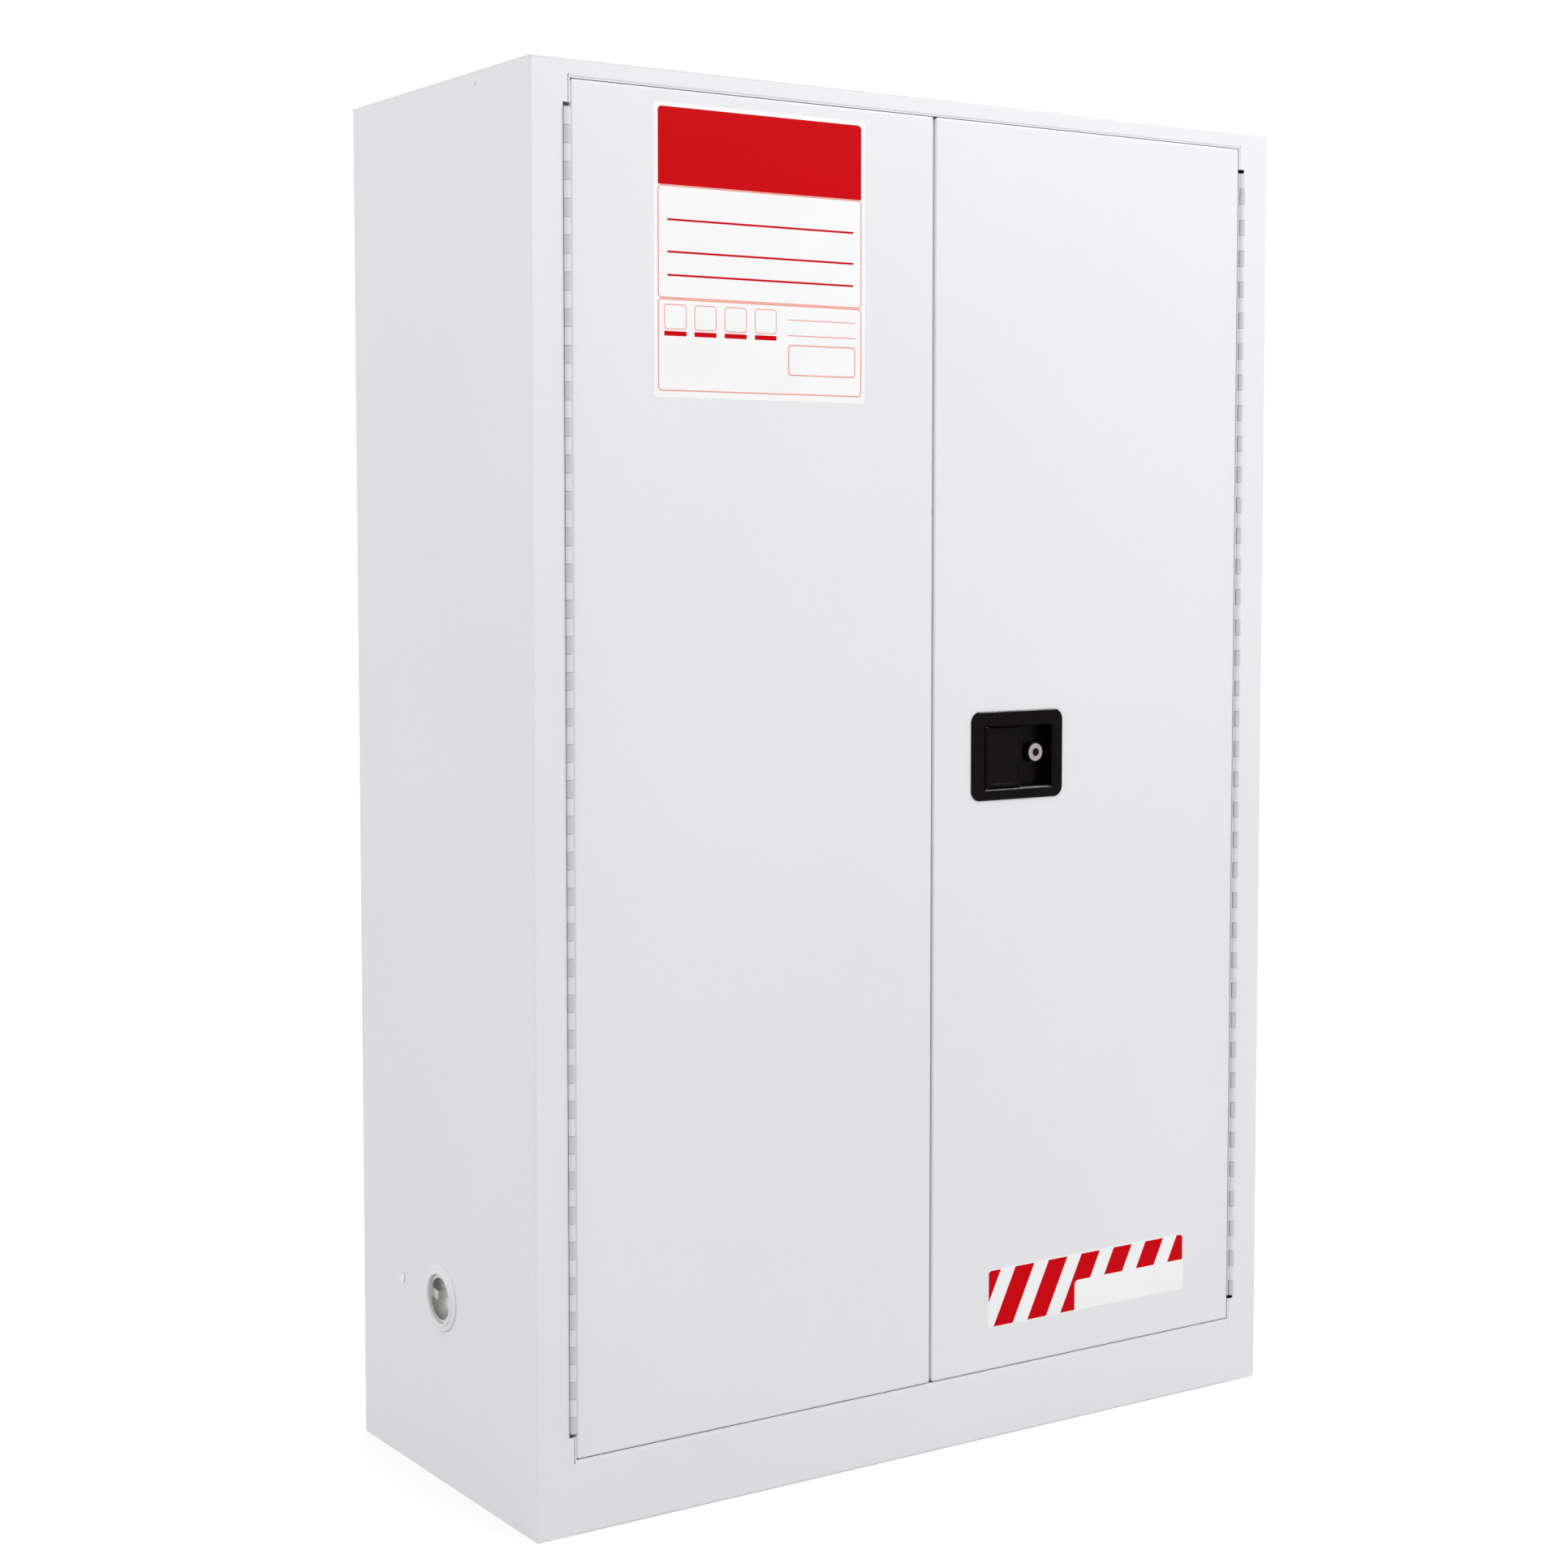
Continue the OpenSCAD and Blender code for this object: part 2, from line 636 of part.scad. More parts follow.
// Strip behind the gap between the doors, on the left door
module closing_strip() color(PAINT) {
    z0 = stop_z0 + 1;
    z1 = stop_z1 - 1;
    block([-left_meet_x - meeting_setback + 1, lip_y, z0], [right_meet_x - strip_play, lip_y + strip_t, z1]);
}

// Loop on the left door that the centre bolt would enter
module centre_keeper() {
    x0 = -left_meet_x - meeting_setback;
    x1 = right_meet_x - 1;
    inner_h = bolt_h + 3;
    color(ZINC) difference() {
        block([x0, slide_y - 4, slide_z - inner_h / 2 - 3], [x1, slide_y + slide_t + 4, slide_z + inner_h / 2 + 3]);
        block([x0 + 2, slide_y - 5, slide_z - inner_h / 2], [x1 + 1, slide_y + slide_t + 5, slide_z + inner_h / 2]);
    }
}

// ---------- latch ----------

bolt_h = 20;
module latch_outline(w, h, r, y0, y1)
    along_y(y0, y1) polygon(round_rect(recess_x - w / 2, slide_z - h / 2, recess_x + w / 2, slide_z + h / 2, r));
module at_studs() for (sx = [-1, 1], sz = [-1, 1])
    translate([latch_x + sx * stud_x, 0, latch_z + sz * stud_z]) children();

// Front plate of the latch with a small bevel round it
module latch_plate() {
    bevel = 1.2;
    corner = 13;
    hull() for (q = [[0, front_y, front_y - latch_t + bevel], [bevel, front_y, plate_y]])
        along_y(q[2], q[1]) polygon(round_rect(latch_x - latch_w / 2 + q[0], latch_z - latch_h / 2 + q[0],
            latch_x + latch_w / 2 - q[0], latch_z + latch_h / 2 - q[0], corner - q[0], 8));
}

module latch_housing() color(BLACK) difference() {
    union() {
        latch_plate();
        latch_outline(recess_w + 2 * housing_t, recess_h + 2 * housing_t, recess_r + housing_t,
            front_y - EPS, housing_y);
        at_studs() pin_y(0, 0, front_y - EPS, front_y + 12, stud_r);
        pin_y(screw_slot_x, slide_z, housing_y - EPS, slide_y - sliding, shoulder_r + 2.5);
        pin_y(screw_slot_x, slide_z, slide_y - sliding - EPS, slide_y + slide_t + sliding, shoulder_r);
    }
    difference() {
        union() {
            latch_outline(recess_w, recess_h, recess_r, plate_y - 1, housing_y - housing_t);
            block([recess_x - recess_w / 2, plate_y - 1, slide_z - recess_h / 2],
                [pivot_x + barrel_r, housing_y - housing_t, slide_z + recess_h / 2]);
        }
        pin_y(lock_x, lock_z, lock_seat_y, housing_y, lock_d / 2 + 4);
    }
    hull() {
        latch_outline(recess_w + 2 * recess_bevel, recess_h + 2 * recess_bevel, recess_r + 1,
            plate_y - 1, plate_y);
        latch_outline(recess_w, recess_h, recess_r, plate_y, plate_y + recess_bevel);
    }
    pin_y(lock_x, lock_z, plate_y - 1, housing_y + 1, lock_d / 2 + running);
    block([pivot_x - arm_tip_r - 1, housing_y - housing_t - 1, slide_z - 7],
        [pivot_x + travel + arm_tip_r + 1.5, housing_y + 1, slide_z + 7]);
    translate([pivot_x, pivot_y, slide_z])
        cylinder(r = pivot_pin_d / 2 + running, h = recess_h + 3 * housing_t, center = true);
}

// Frame behind the skin that the plate is bolted to
module latch_clamp_frame() color(ZINC) difference() {
    along_y(front_y + sheet, front_y + sheet + 2) polygon(round_rect(latch_x - latch_w / 2 + 1,
        latch_z - latch_h / 2 + 1, latch_x + latch_w / 2 - 1, latch_z + latch_h / 2 - 1, 8));
    latch_outline(recess_w + 2 * housing_t + 1, recess_h + 2 * housing_t + 1, cutout_r,
        front_y, front_y + 10);
    at_studs() pin_y(0, 0, front_y, front_y + 10, stud_r + sliding);
}

module latch_nuts() color(BRIGHT) at_studs() translate([0, front_y + sheet + 2, 0]) rotate([-90, 0, 0])
    difference() {
        cylinder(d = 8, h = 3.2, $fn = 6);
        translate([0, 0, -1]) cylinder(r = stud_r + running, h = 6);
    }

module latch_pivot_pin() color(ZINC) translate([pivot_x, pivot_y, slide_z])
    cylinder(d = pivot_pin_d, h = recess_h + 2 * housing_t, center = true);

// Paddle: a dished plate on a round hinge edge, a grip lip and the arm that drives the slide
module latch_paddle() {
    half_h = recess_h / 2 - short_stop;
    x1 = pivot_x - barrel_r + paddle_w;
    y0 = plate_y + paddle_set;
    bevel = 1.8;
    spring_z = slide_z + 9;
    color(BLACK) difference() {
        union() {
            translate([pivot_x, pivot_y, slide_z]) cylinder(r = barrel_r, h = 2 * half_h, center = true);
            hull() for (q = [[bevel, y0, y0 + 1], [0, y0 + bevel, y0 + 3]])
                along_y(q[1], q[2]) polygon(round_rect(pivot_x - 1 + q[0], slide_z - half_h + q[0],
                    x1 - q[0], slide_z + half_h - q[0], 3 - q[0]));
            block([x1 - 3.3, y0 + 2, slide_z - half_h + 3], [x1 - 0.3, y0 + 9, slide_z + half_h - 3]);
            block([pivot_x - 1.5, pivot_y, slide_z - 5], [pivot_x + 1.5, pivot_y + arm_l, slide_z + 5]);
            translate([pivot_x, pivot_y + arm_l, slide_z]) cylinder(r = arm_tip_r, h = 10, center = true);
        }
        along_y(y0 - 1, y0 + 0.5) polygon(round_rect(pivot_x + 3, slide_z - half_h + 5,
            x1 - 5, slide_z + half_h - 5, 3));
        translate([pivot_x, pivot_y, slide_z])
            cylinder(r = pivot_pin_d / 2 + running, h = recess_h, center = true);
        difference() {
            block([pivot_x - barrel_r - 1, y0 + 3, spring_z], [pivot_x + barrel_r + 1, pivot_y + 20, spring_z + 12]);
            block([pivot_x - barrel_r - 2, y0 + 2, spring_z - 1], [pivot_x + barrel_r + 2, y0 + 3, spring_z + 13]);
        }
        translate([pivot_x, pivot_y, spring_z]) cylinder(r = spring_r + 1, h = 12);
    }
}

// Torsion spring round the pivot pin: its coils, one leg on the housing and one behind the paddle
spring_wire_r = 0.5;
spring_r = pivot_pin_d / 2 + 0.4 + spring_wire_r;
spring_turns = 5;
module paddle_spring() {
    pitch = 1.6;
    steps = 12;
    sides = 6;
    z0 = slide_z + 11;
    tail_y = housing_y - housing_t - spring_wire_r - 0.1;
    // The coil, then a straight leg back to the housing floor
    coil = [for (k = [0:spring_turns * steps]) let (a = 360 * k / steps)
        [pivot_x + spring_r * cos(a), pivot_y + spring_r * sin(a), z0 + pitch * k / steps]];
    out = [for (k = [0:spring_turns * steps]) 360 * k / steps];
    last = len(coil) - 1;
    route = concat(coil, [[pivot_x + spring_r, tail_y, coil[last].z]]);
    around = concat(out, [0]);
    points = [for (k = [0:len(route) - 1], j = [0:sides - 1]) let (b = 360 * j / sides)
        route[k] + spring_wire_r * [cos(b) * cos(around[k]), cos(b) * sin(around[k]), sin(b)]];
    n = len(route);
    color(BRIGHT) polyhedron(points = points, faces = concat(
        [[for (j = [0:sides - 1]) j]],
        [[for (j = [sides - 1:-1:0]) (n - 1) * sides + j]],
        [for (k = [0:n - 2], j = [0:sides - 1]) let (a = k * sides + j, b = k * sides + (j + 1) % sides)
            each [[a, a + sides, b + sides], [a, b + sides, b]]]));
}

// Sliding plate: centre bolt, window for the paddle's arm and slanted slots that draw the rods in
module latch_slide() {
    x0 = right_meet_x + short_stop;
    body_x0 = pivot_x + 11;
    half_h = drive_pin_rise + 8;
    window = arm_tip_r + short_stop;
    color(ZINC) along_y(slide_y, slide_y + slide_t) difference() {
        union() {
            polygon(round_rect(body_x0, slide_z - half_h, slide_reach_x, slide_z + half_h, 4));
            translate([x0, slide_z - bolt_h / 2]) square([body_x0 + 5 - x0, bolt_h]);
        }
        translate([pivot_x - window, slide_z - 6.5]) square([2 * window, 13]);
        polygon(slot_points([screw_slot_x, slide_z], [screw_slot_x - travel, slide_z],
            shoulder_r + slot_play));
        for (s = [-1, 1]) polygon(slot_points([rod_x, slide_z + s * drive_pin_rise],
            [rod_x - travel, slide_z + s * (drive_pin_rise - travel)], drive_pin_r + slot_play));
    }
}

// Outline of a slot with round ends from a to b
function slot_points(a, b, r, steps = 8) = let (turn = atan2(b.y - a.y, b.x - a.x)) [
    for (end = [[b, -90], [a, 90]]) for (k = [0:steps])
        end[0] + r * [cos(turn + end[1] + 180 * k / steps), sin(turn + end[1] + 180 * k / steps)]];

// A rod with its drive block and pin; s is 1 for the upper and -1 for the lower rod
module latch_rod(s, tip_z) {
    pin_z = slide_z + s * drive_pin_rise;
    color(ZINC) {
        translate([rod_x, rod_y, min(pin_z, tip_z)]) cylinder(d = rod_d, h = abs(tip_z - pin_z));
        block([rod_x - 6, rod_y - rod_d / 2, pin_z - 7], [rod_x + 6, rod_y + rod_d / 2, pin_z + 7]);
        pin_y(rod_x, pin_z, slide_y - 1.5, rod_y, drive_pin_r);
    }
}
module upper_rod() latch_rod(1, stop_z1 - short_stop);
module lower_rod() latch_rod(-1, stop_z0 + short_stop);

guide_rise = 240;
guide_inset = 60;
guide_half_w = 12;
guide_half_h = 10;

// Blocks on the tray that guide the rods
module rod_guides() color(ZINC) for (z = [slide_z + guide_rise, tray_z1 - guide_inset,
    slide_z - guide_rise, tray_z0 + guide_inset]) translate([0, 0, z]) difference() {
    block([rod_x - guide_half_w, rod_y - rod_d / 2 - 3, -guide_half_h],
        [rod_x + guide_half_w, door_back_y - sheet, guide_half_h]);
    translate([rod_x, rod_y, 0]) cylinder(r = rod_d / 2 + 0.2, h = 3 * guide_half_h, center = true);
}

// Bracket on the tray that guides the centre bolt
module bolt_guide() {
    x0 = right_meet_x + 42;
    color(ZINC) difference() {
        block([x0, slide_y - 3, slide_z - bolt_h / 2 - 6], [x0 + 14, door_back_y - sheet, slide_z + bolt_h / 2 + 6]);
        block([x0 - 1, slide_y - sliding, slide_z - bolt_h / 2 - sliding],
            [x0 + 15, slide_y + slide_t + sliding, slide_z + bolt_h / 2 + sliding]);
    }
}

// Opening in the door tray behind the latch, grown by a margin
module access_cut(margin, y0, y1) along_y(y0, y1) polygon(round_rect(
    recess_x - recess_w / 2 - margin, slide_z - access_half_h - margin,
    recess_x + recess_w / 2 + margin, slide_z + access_half_h + margin, 6 + margin));

module latch_access_cover() {
    margin = 12;
    color(LINER) {
        access_cut(margin, door_back_y, door_back_y + sheet);
        for (sx = [-1, 1], sz = [-1, 1])
            pin_y(recess_x + sx * (recess_w / 2 + margin / 2), slide_z + sz * (access_half_h + margin / 2),
                door_back_y + sheet - EPS, door_back_y + sheet + 1.8, 3.6);
    }
}

// Barrel with its bezel, and the hexagon nut that holds it
module lock_barrel() {
    back_y = slide_y - short_stop;
    color(BRIGHT) {
        difference() {
            union() {
                pin_y(lock_x, lock_z, lock_seat_y - 1.5, lock_seat_y, lock_d / 2 + 2);
                pin_y(lock_x, lock_z, lock_seat_y - EPS, back_y, lock_d / 2);
            }
            pin_y(lock_x, lock_z, lock_seat_y - 3, back_y + 1, plug_r + running);
        }
        translate([lock_x, housing_y, lock_z]) rotate([-90, 0, 0]) difference() {
            cylinder(d = lock_d + 8, h = 2.5, $fn = 6);
            translate([0, 0, -1]) cylinder(r = lock_d / 2 + running, h = 5);
        }
    }
}

// Key plug with its keyway and the cam on its end; the cam hangs down and swings to the left
module lock_plug() {
    cam_r = 6.5;
    cam_y = slide_y + cam_t;
    color(BRIGHT) {
        difference() {
            pin_y(lock_x, lock_z, lock_seat_y - 1.8, slide_y + EPS, plug_r);
            block([lock_x - 0.9, lock_seat_y - 3, lock_z - 4], [lock_x + 0.9, lock_seat_y + 6, lock_z + 4]);
        }
        pin_y(lock_x, lock_z, slide_y, cam_y, cam_r + 1.5);
        pin_y(lock_x, lock_z - cam_reach + cam_r, slide_y, cam_y, cam_r);
        block([lock_x - cam_r, slide_y, lock_z - cam_reach + cam_r], [lock_x + cam_r, cam_y, lock_z]);
        pin_y(lock_x, lock_z, cam_y - EPS, cam_y + 3, 3.5);
    }
}

// ---------- vents and small fasteners ----------

module at_vent(z) translate([half_w, vent_y, z]) rotate([0, 90, 0]) children();

// Flanged tube through both walls, with a raised lip and a ledge at the inner end
module vent_collar() {
    inner_end = -shell_gap - 4;
    rotate_extrude() polygon([[vent_r, 4.6], [vent_r + 0.6, 5], [vent_r + 3, 5], [vent_r + 3.6, 4.4],
        [vent_r + 3.6, 3], [vent_flange_d / 2 - 1.4, 3], [vent_flange_d / 2, 1.8], [vent_flange_d / 2, 0],
        [vent_r + collar_wall, 0], [vent_r + collar_wall, inner_end], [vent_r - 3.5, inner_end],
        [vent_r - 3.5, inner_end + 1.5], [vent_r, inner_end + 1.5]]);
}
module vent_collar_left() color(PAINT) on_side(-1) at_vent(vent_low_z) vent_collar();
module vent_collar_right() color(PAINT) at_vent(vent_high_z) vent_collar();

module at_both_vents() {
    on_side(-1) at_vent(vent_low_z) children();
    at_vent(vent_high_z) children();
}

// Perforated disc on the ledge of each collar
arrester_t = 1.5;
hole_pitch = 7;
hole_rings = 3;
module flame_arresters() color(ZINC) at_both_vents() translate([0, 0, -shell_gap - 2.5]) difference() {
    cylinder(r = vent_r - running, h = arrester_t);
    for (u = [-hole_rings:hole_rings], v = [-hole_rings:hole_rings])
        if (abs(u + v) <= hole_rings)
            translate([hole_pitch * (u + v / 2), hole_pitch * v * sqrt(3) / 2, -1]) cylinder(r = 2, h = 4);
}

module arrester_rings() color(ZINC) at_both_vents()
    ring(vent_r - running, vent_r - 3, arrester_t - shell_gap - 2.5, arrester_t - shell_gap - 1);

// Threaded plug: a cup with a driving lug on either side of it
module vent_plug() {
    r = vent_r - 0.2;
    cup_r = r - 4.5;
    face = 1.5;
    floor = -7.5;
    lug_w = 11;
    lug_h = 6.5;
    difference() {
        translate([0, 0, -18]) cylinder(r = r, h = 18 + face);
        translate([0, 0, floor]) cylinder(r = cup_r, h = 20);
        translate([0, 0, -20]) cylinder(r = r - 3, h = 8);
    }
    intersection() {
        ring(cup_r + EPS, cup_r - 13, floor - EPS, floor + lug_h);
        rotate([0, 0, 5]) translate([-lug_w / 2, -cup_r, floor - 1]) cube([lug_w, 2 * cup_r, lug_h + 2]);
    }
}
module vent_plug_left() color(ZINC) on_side(-1) at_vent(vent_low_z) vent_plug();
module vent_plug_right() color(ZINC) at_vent(vent_high_z) vent_plug();

ground_r = 3;
module at_ground_screw() translate([half_w, vent_y + 105, vent_low_z + 1]) rotate([0, 90, 0]) children();
module ground_screw() color(BRIGHT) on_side(-1) at_ground_screw() {
    rotate_extrude() polygon([[0, -12], [ground_r, -12], [ground_r, 0], [5.5, 0], [5.5, 1.4], [4.6, 2.6],
        [3, 3.2], [0, 3.4]]);
    translate([0, 0, -sheet - 4.5]) difference() {
        cylinder(d = 11.5, h = 4.5, $fn = 6);
        translate([0, 0, -1]) cylinder(r = ground_r + running, h = 7);
    }
}

rivet_r = 2;
module at_rivet() translate([half_w, front_y + 130, cabinet_h - 12.5]) rotate([0, 90, 0]) children();
module top_rivets() color(PAINT) both_sides() at_rivet() rotate_extrude()
    polygon([[0, -2 * sheet - 2], [3, -2 * sheet - 2], [3, -2 * sheet], [rivet_r, -2 * sheet],
        [rivet_r, 0], [3.4, 0], [3, 0.8], [1.6, 1.2], [0, 1.3]]);

// ---------- feet ----------

module at_feet() for (sx = [-1, 1], sy = [-1, 1]) translate([sx * foot_x, sy * foot_y, 0]) children();
module foot_nuts() color(ZINC) at_feet() translate([0, 0, bottom_lift + sheet]) difference() {
    cylinder(d = 1.9 * foot_screw_d, h = nut_h, $fn = 6);
    translate([0, 0, -1]) cylinder(r = foot_screw_d / 2 + running, h = nut_h + 2);
}
module foot(sx, sy) color(ZINC) translate([sx * foot_x, sy * foot_y, 0]) rotate_extrude()
    polygon([[0, 0], [foot_d / 2 - 1, 0], [foot_d / 2, 1], [foot_d / 2, 3], [foot_d / 2 - 5, foot_plate_h],
        [foot_screw_d / 2, foot_plate_h], [foot_screw_d / 2, foot_top_z - 1],
        [foot_screw_d / 2 - 1, foot_top_z], [0, foot_top_z]]);
module foot_front_left() foot(-1, -1);
module foot_front_right() foot(1, -1);
module foot_rear_left() foot(-1, 1);
module foot_rear_right() foot(1, 1);

outer_side_left();
outer_side_right();
outer_back();
outer_top();
outer_bottom();
head_rail();
sill_rail();
inner_side_left();
inner_side_right();
inner_back();
inner_top();
inner_floor();
floor_bearers();
wall_spacers();
shelf_standards_left();
shelf_standards_right();
shelf_hangers();
shelf_lower();
shelf_upper();
hinge_frame_leaf_left();
hinge_frame_leaf_right();
hinge_pins();
rod_keepers();
vent_collar_left();
vent_collar_right();
flame_arresters();
arrester_rings();
vent_plug_left();
vent_plug_right();
ground_screw();
top_rivets();
foot_nuts();
left_door_skin();
left_door_tray();
left_door_stiffener();
hinge_door_leaf_left();
closing_strip();
centre_keeper();
right_door_skin();
right_door_tray();
right_door_stiffener();
hinge_door_leaf_right();
latch_housing();
latch_clamp_frame();
latch_nuts();
latch_pivot_pin();
paddle_spring();
bolt_guide();
rod_guides();
latch_access_cover();
latch_paddle();
latch_slide();
upper_rod();
lower_rod();
lock_barrel();
lock_plug();
foot_front_left();
foot_front_right();
foot_rear_left();
foot_rear_right();
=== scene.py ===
"""Looks of the two-door double-wall storage cabinet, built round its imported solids.

Lengths are in metres, except in the classes that say millimetres. Places are in the frame of the
solids: the origin is in the middle of the base, +X runs to the right, +Y to the back and +Z up,
and the doors face -Y.
"""

from __future__ import annotations

import json
import logging
import math
from collections.abc import Iterable, Sequence
from dataclasses import dataclass, field
from enum import Enum

import bmesh
import bpy
from mathutils import Matrix, Vector

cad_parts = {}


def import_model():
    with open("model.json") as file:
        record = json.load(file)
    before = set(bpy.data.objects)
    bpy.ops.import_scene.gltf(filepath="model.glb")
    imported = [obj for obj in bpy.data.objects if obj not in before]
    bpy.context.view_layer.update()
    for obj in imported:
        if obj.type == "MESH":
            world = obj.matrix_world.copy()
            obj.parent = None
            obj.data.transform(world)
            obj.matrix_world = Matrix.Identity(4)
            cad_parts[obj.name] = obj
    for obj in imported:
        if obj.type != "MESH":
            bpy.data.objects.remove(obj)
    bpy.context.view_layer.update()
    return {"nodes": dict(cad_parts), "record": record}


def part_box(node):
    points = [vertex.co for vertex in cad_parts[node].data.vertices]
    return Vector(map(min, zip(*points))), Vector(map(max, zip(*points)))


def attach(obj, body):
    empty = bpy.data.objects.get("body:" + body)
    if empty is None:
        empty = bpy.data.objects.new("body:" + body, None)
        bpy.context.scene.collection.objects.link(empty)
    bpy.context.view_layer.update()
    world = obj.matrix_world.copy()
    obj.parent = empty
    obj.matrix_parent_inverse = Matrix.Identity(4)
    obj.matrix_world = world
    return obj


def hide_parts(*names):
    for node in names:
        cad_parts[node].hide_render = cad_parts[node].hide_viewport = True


LOG = logging.getLogger("storage_cabinet")
MM = 0.001
Point = tuple[float, float]
Span = tuple[float, float]
Colour = tuple[float, float, float]
CORNERS = ((-1, -1), (1, -1), (1, 1), (-1, 1))
NOISE_SPAN = (0.3, 0.7)
CELL_SPAN = (0.1, 0.9)
SAME_POINT = 0.02 * MM
FLAT_BELOW = math.radians(0.6)
SHARP_ABOVE = math.radians(28)
TURNED_SHARP_ABOVE = math.radians(32)


class Body(Enum):
    """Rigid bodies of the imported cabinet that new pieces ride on."""

    CABINET = "cabinet"
    LEFT_DOOR = "left_door"
    RIGHT_DOOR = "right_door"
    PADDLE = "paddle"
    LOCK = "lock"
    LEFT_PLUG = "vent_plug_left"
    RIGHT_PLUG = "vent_plug_right"


class Slot(Enum):
    """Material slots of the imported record."""

    PAINT = "paint"
    LINER = "liner"
    ZINC = "zinc"
    GALVANISED = "galvanised"
    BRIGHT = "bright"
    SPRING_STEEL = "spring_steel"
    BLACK = "black"
    WHITE_VINYL = "white_vinyl"
    RED_VINYL = "red_vinyl"


def linear(red: int, green: int, blue: int) -> Colour:
    """Turns a display colour into the linear one that shaders take.

    Args:
        red: Red of the display colour, 0 to 255.
        green: Green of the display colour, 0 to 255.
        blue: Blue of the display colour, 0 to 255.

    Returns:
        The linear colour.
    """
    shares = (value / 255 for value in (red, green, blue))
    return tuple(c / 12.92 if c <= 0.04045 else ((c + 0.055) / 1.055) ** 2.4 for c in shares)


def in_metres(place: Point) -> Point:
    """Turns millimetres into metres."""
    return place[0] * MM, place[1] * MM


# ---------- finishes ----------


class Graph:
    """Node graph of one material: a Principled shader with helpers that feed it."""

    EDGE_SAMPLES = 4

    def __init__(self, name: str) -> None:
        """Starts the material with its shader, its output and Object coordinates.

        Args:
            name: Name of the material.
        """
        self.material = bpy.data.materials.new(name)
        self.material.use_nodes = True
        self.tree = self.material.node_tree
        self.tree.nodes.clear()
        output = self.add("ShaderNodeOutputMaterial")
        self.shader = self.add("ShaderNodeBsdfPrincipled")
        self.link(self.shader.outputs["BSDF"], output.inputs["Surface"])
        self.coordinates = self.add("ShaderNodeTexCoord").outputs["Object"]

    def add(self, kind: str, **settings: object) -> bpy.types.Node:
        """Adds a node.

        Args:
            kind: Blender's name of the node type.
            **settings: Attributes set on the node.

        Returns:
            The new node.
        """
        node = self.tree.nodes.new(kind)
        for key, value in settings.items():
            setattr(node, key, value)
        return node

    def link(self, source: bpy.types.NodeSocket, target: bpy.types.NodeSocket) -> None:
        """Connects an output to an input."""
        self.tree.links.new(source, target)

    def set(self, **values: object) -> None:
        """Sets the shader's own sockets, with underscores for the spaces in their names."""
        for key, value in values.items():
            self.shader.inputs[key.replace("_", " ")].default_value = value

    def stretched(self, scale: Sequence[float]) -> bpy.types.NodeSocket:
        """Gives Object coordinates multiplied along each axis.

        Args:
            scale: Factor of each axis.

        Returns:
            The coordinates.
        """
        mapping = self.add("ShaderNodeMapping")
        mapping.inputs["Scale"].default_value = scale
        self.link(self.coordinates, mapping.inputs["Vector"])
        return mapping.outputs["Vector"]

    def noise(self, scale: float, detail: float = 2.0,
              where: bpy.types.NodeSocket | None = None) -> bpy.types.NodeSocket:
        """Adds a noise pattern.

        Args:
            scale: Waves per metre.
            detail: Number of finer layers.
            where: Coordinates, or None for Object coordinates.

        Returns:
            The pattern, about 0.3 to 0.7.
        """
        node = self.add("ShaderNodeTexNoise")
        node.inputs["Scale"].default_value = scale
        node.inputs["Detail"].default_value = detail
        self.link(where or self.coordinates, node.inputs["Vector"])
        return node.outputs["Fac"]

    def cells(self, scale: float) -> bpy.types.NodeSocket:
        """Adds a cell pattern with one random grey per crystal of a zinc coat.

        Args:
            scale: Crystals per metre.

        Returns:
            The grey of each crystal.
        """
        node = self.add("ShaderNodeTexVoronoi")
        node.inputs["Scale"].default_value = scale
        self.link(self.coordinates, node.inputs["Vector"])
        grey = self.add("ShaderNodeRGBToBW")
        self.link(node.outputs["Color"], grey.inputs["Color"])
        return grey.outputs["Val"]

    def between(self, pattern: bpy.types.NodeSocket, low: float, high: float,
                span: Span = NOISE_SPAN) -> bpy.types.NodeSocket:
        """Maps a pattern to values from low to high.

        Args:
            pattern: The pattern.
            low: Value at the pattern's low end.
            high: Value at the pattern's high end.
            span: The pattern's low and high end.

        Returns:
            The mapped value.
        """
        node = self.add("ShaderNodeMapRange")
        for key, value in zip(("From Min", "From Max", "To Min", "To Max"), (*span, low, high)):
            node.inputs[key].default_value = value
        self.link(pattern, node.inputs["Value"])
        return node.outputs["Result"]

    def tint(self, pattern: bpy.types.NodeSocket, low: Colour, high: Colour,
             span: Span = NOISE_SPAN) -> None:
        """Feeds the base colour with a blend of two colours.

        Args:
            pattern: What the blend follows.
            low: Colour at the pattern's low end.
            high: Colour at the pattern's high end.
            span: The pattern's low and high end.
        """
        ramp = self.add("ShaderNodeValToRGB")
        ends = ramp.color_ramp.elements
        for end, place, colour in zip(ends, span, (low, high)):
            end.position = place
            end.color = (*colour, 1.0)
        self.link(pattern, ramp.inputs["Fac"])
        self.link(ramp.outputs["Color"], self.shader.inputs["Base Color"])

    def roughen(self, pattern: bpy.types.NodeSocket, middle: float, play: Span,
                span: Span = NOISE_SPAN) -> None:
        """Feeds the roughness with a pattern.

        Args:
            pattern: What the roughness follows.
            middle: The finish's plain roughness.
            play: What the pattern's low and high end add to it.
            span: The pattern's low and high end.
        """
        self.link(self.between(pattern, middle + play[0], middle + play[1], span),
                  self.shader.inputs["Roughness"])

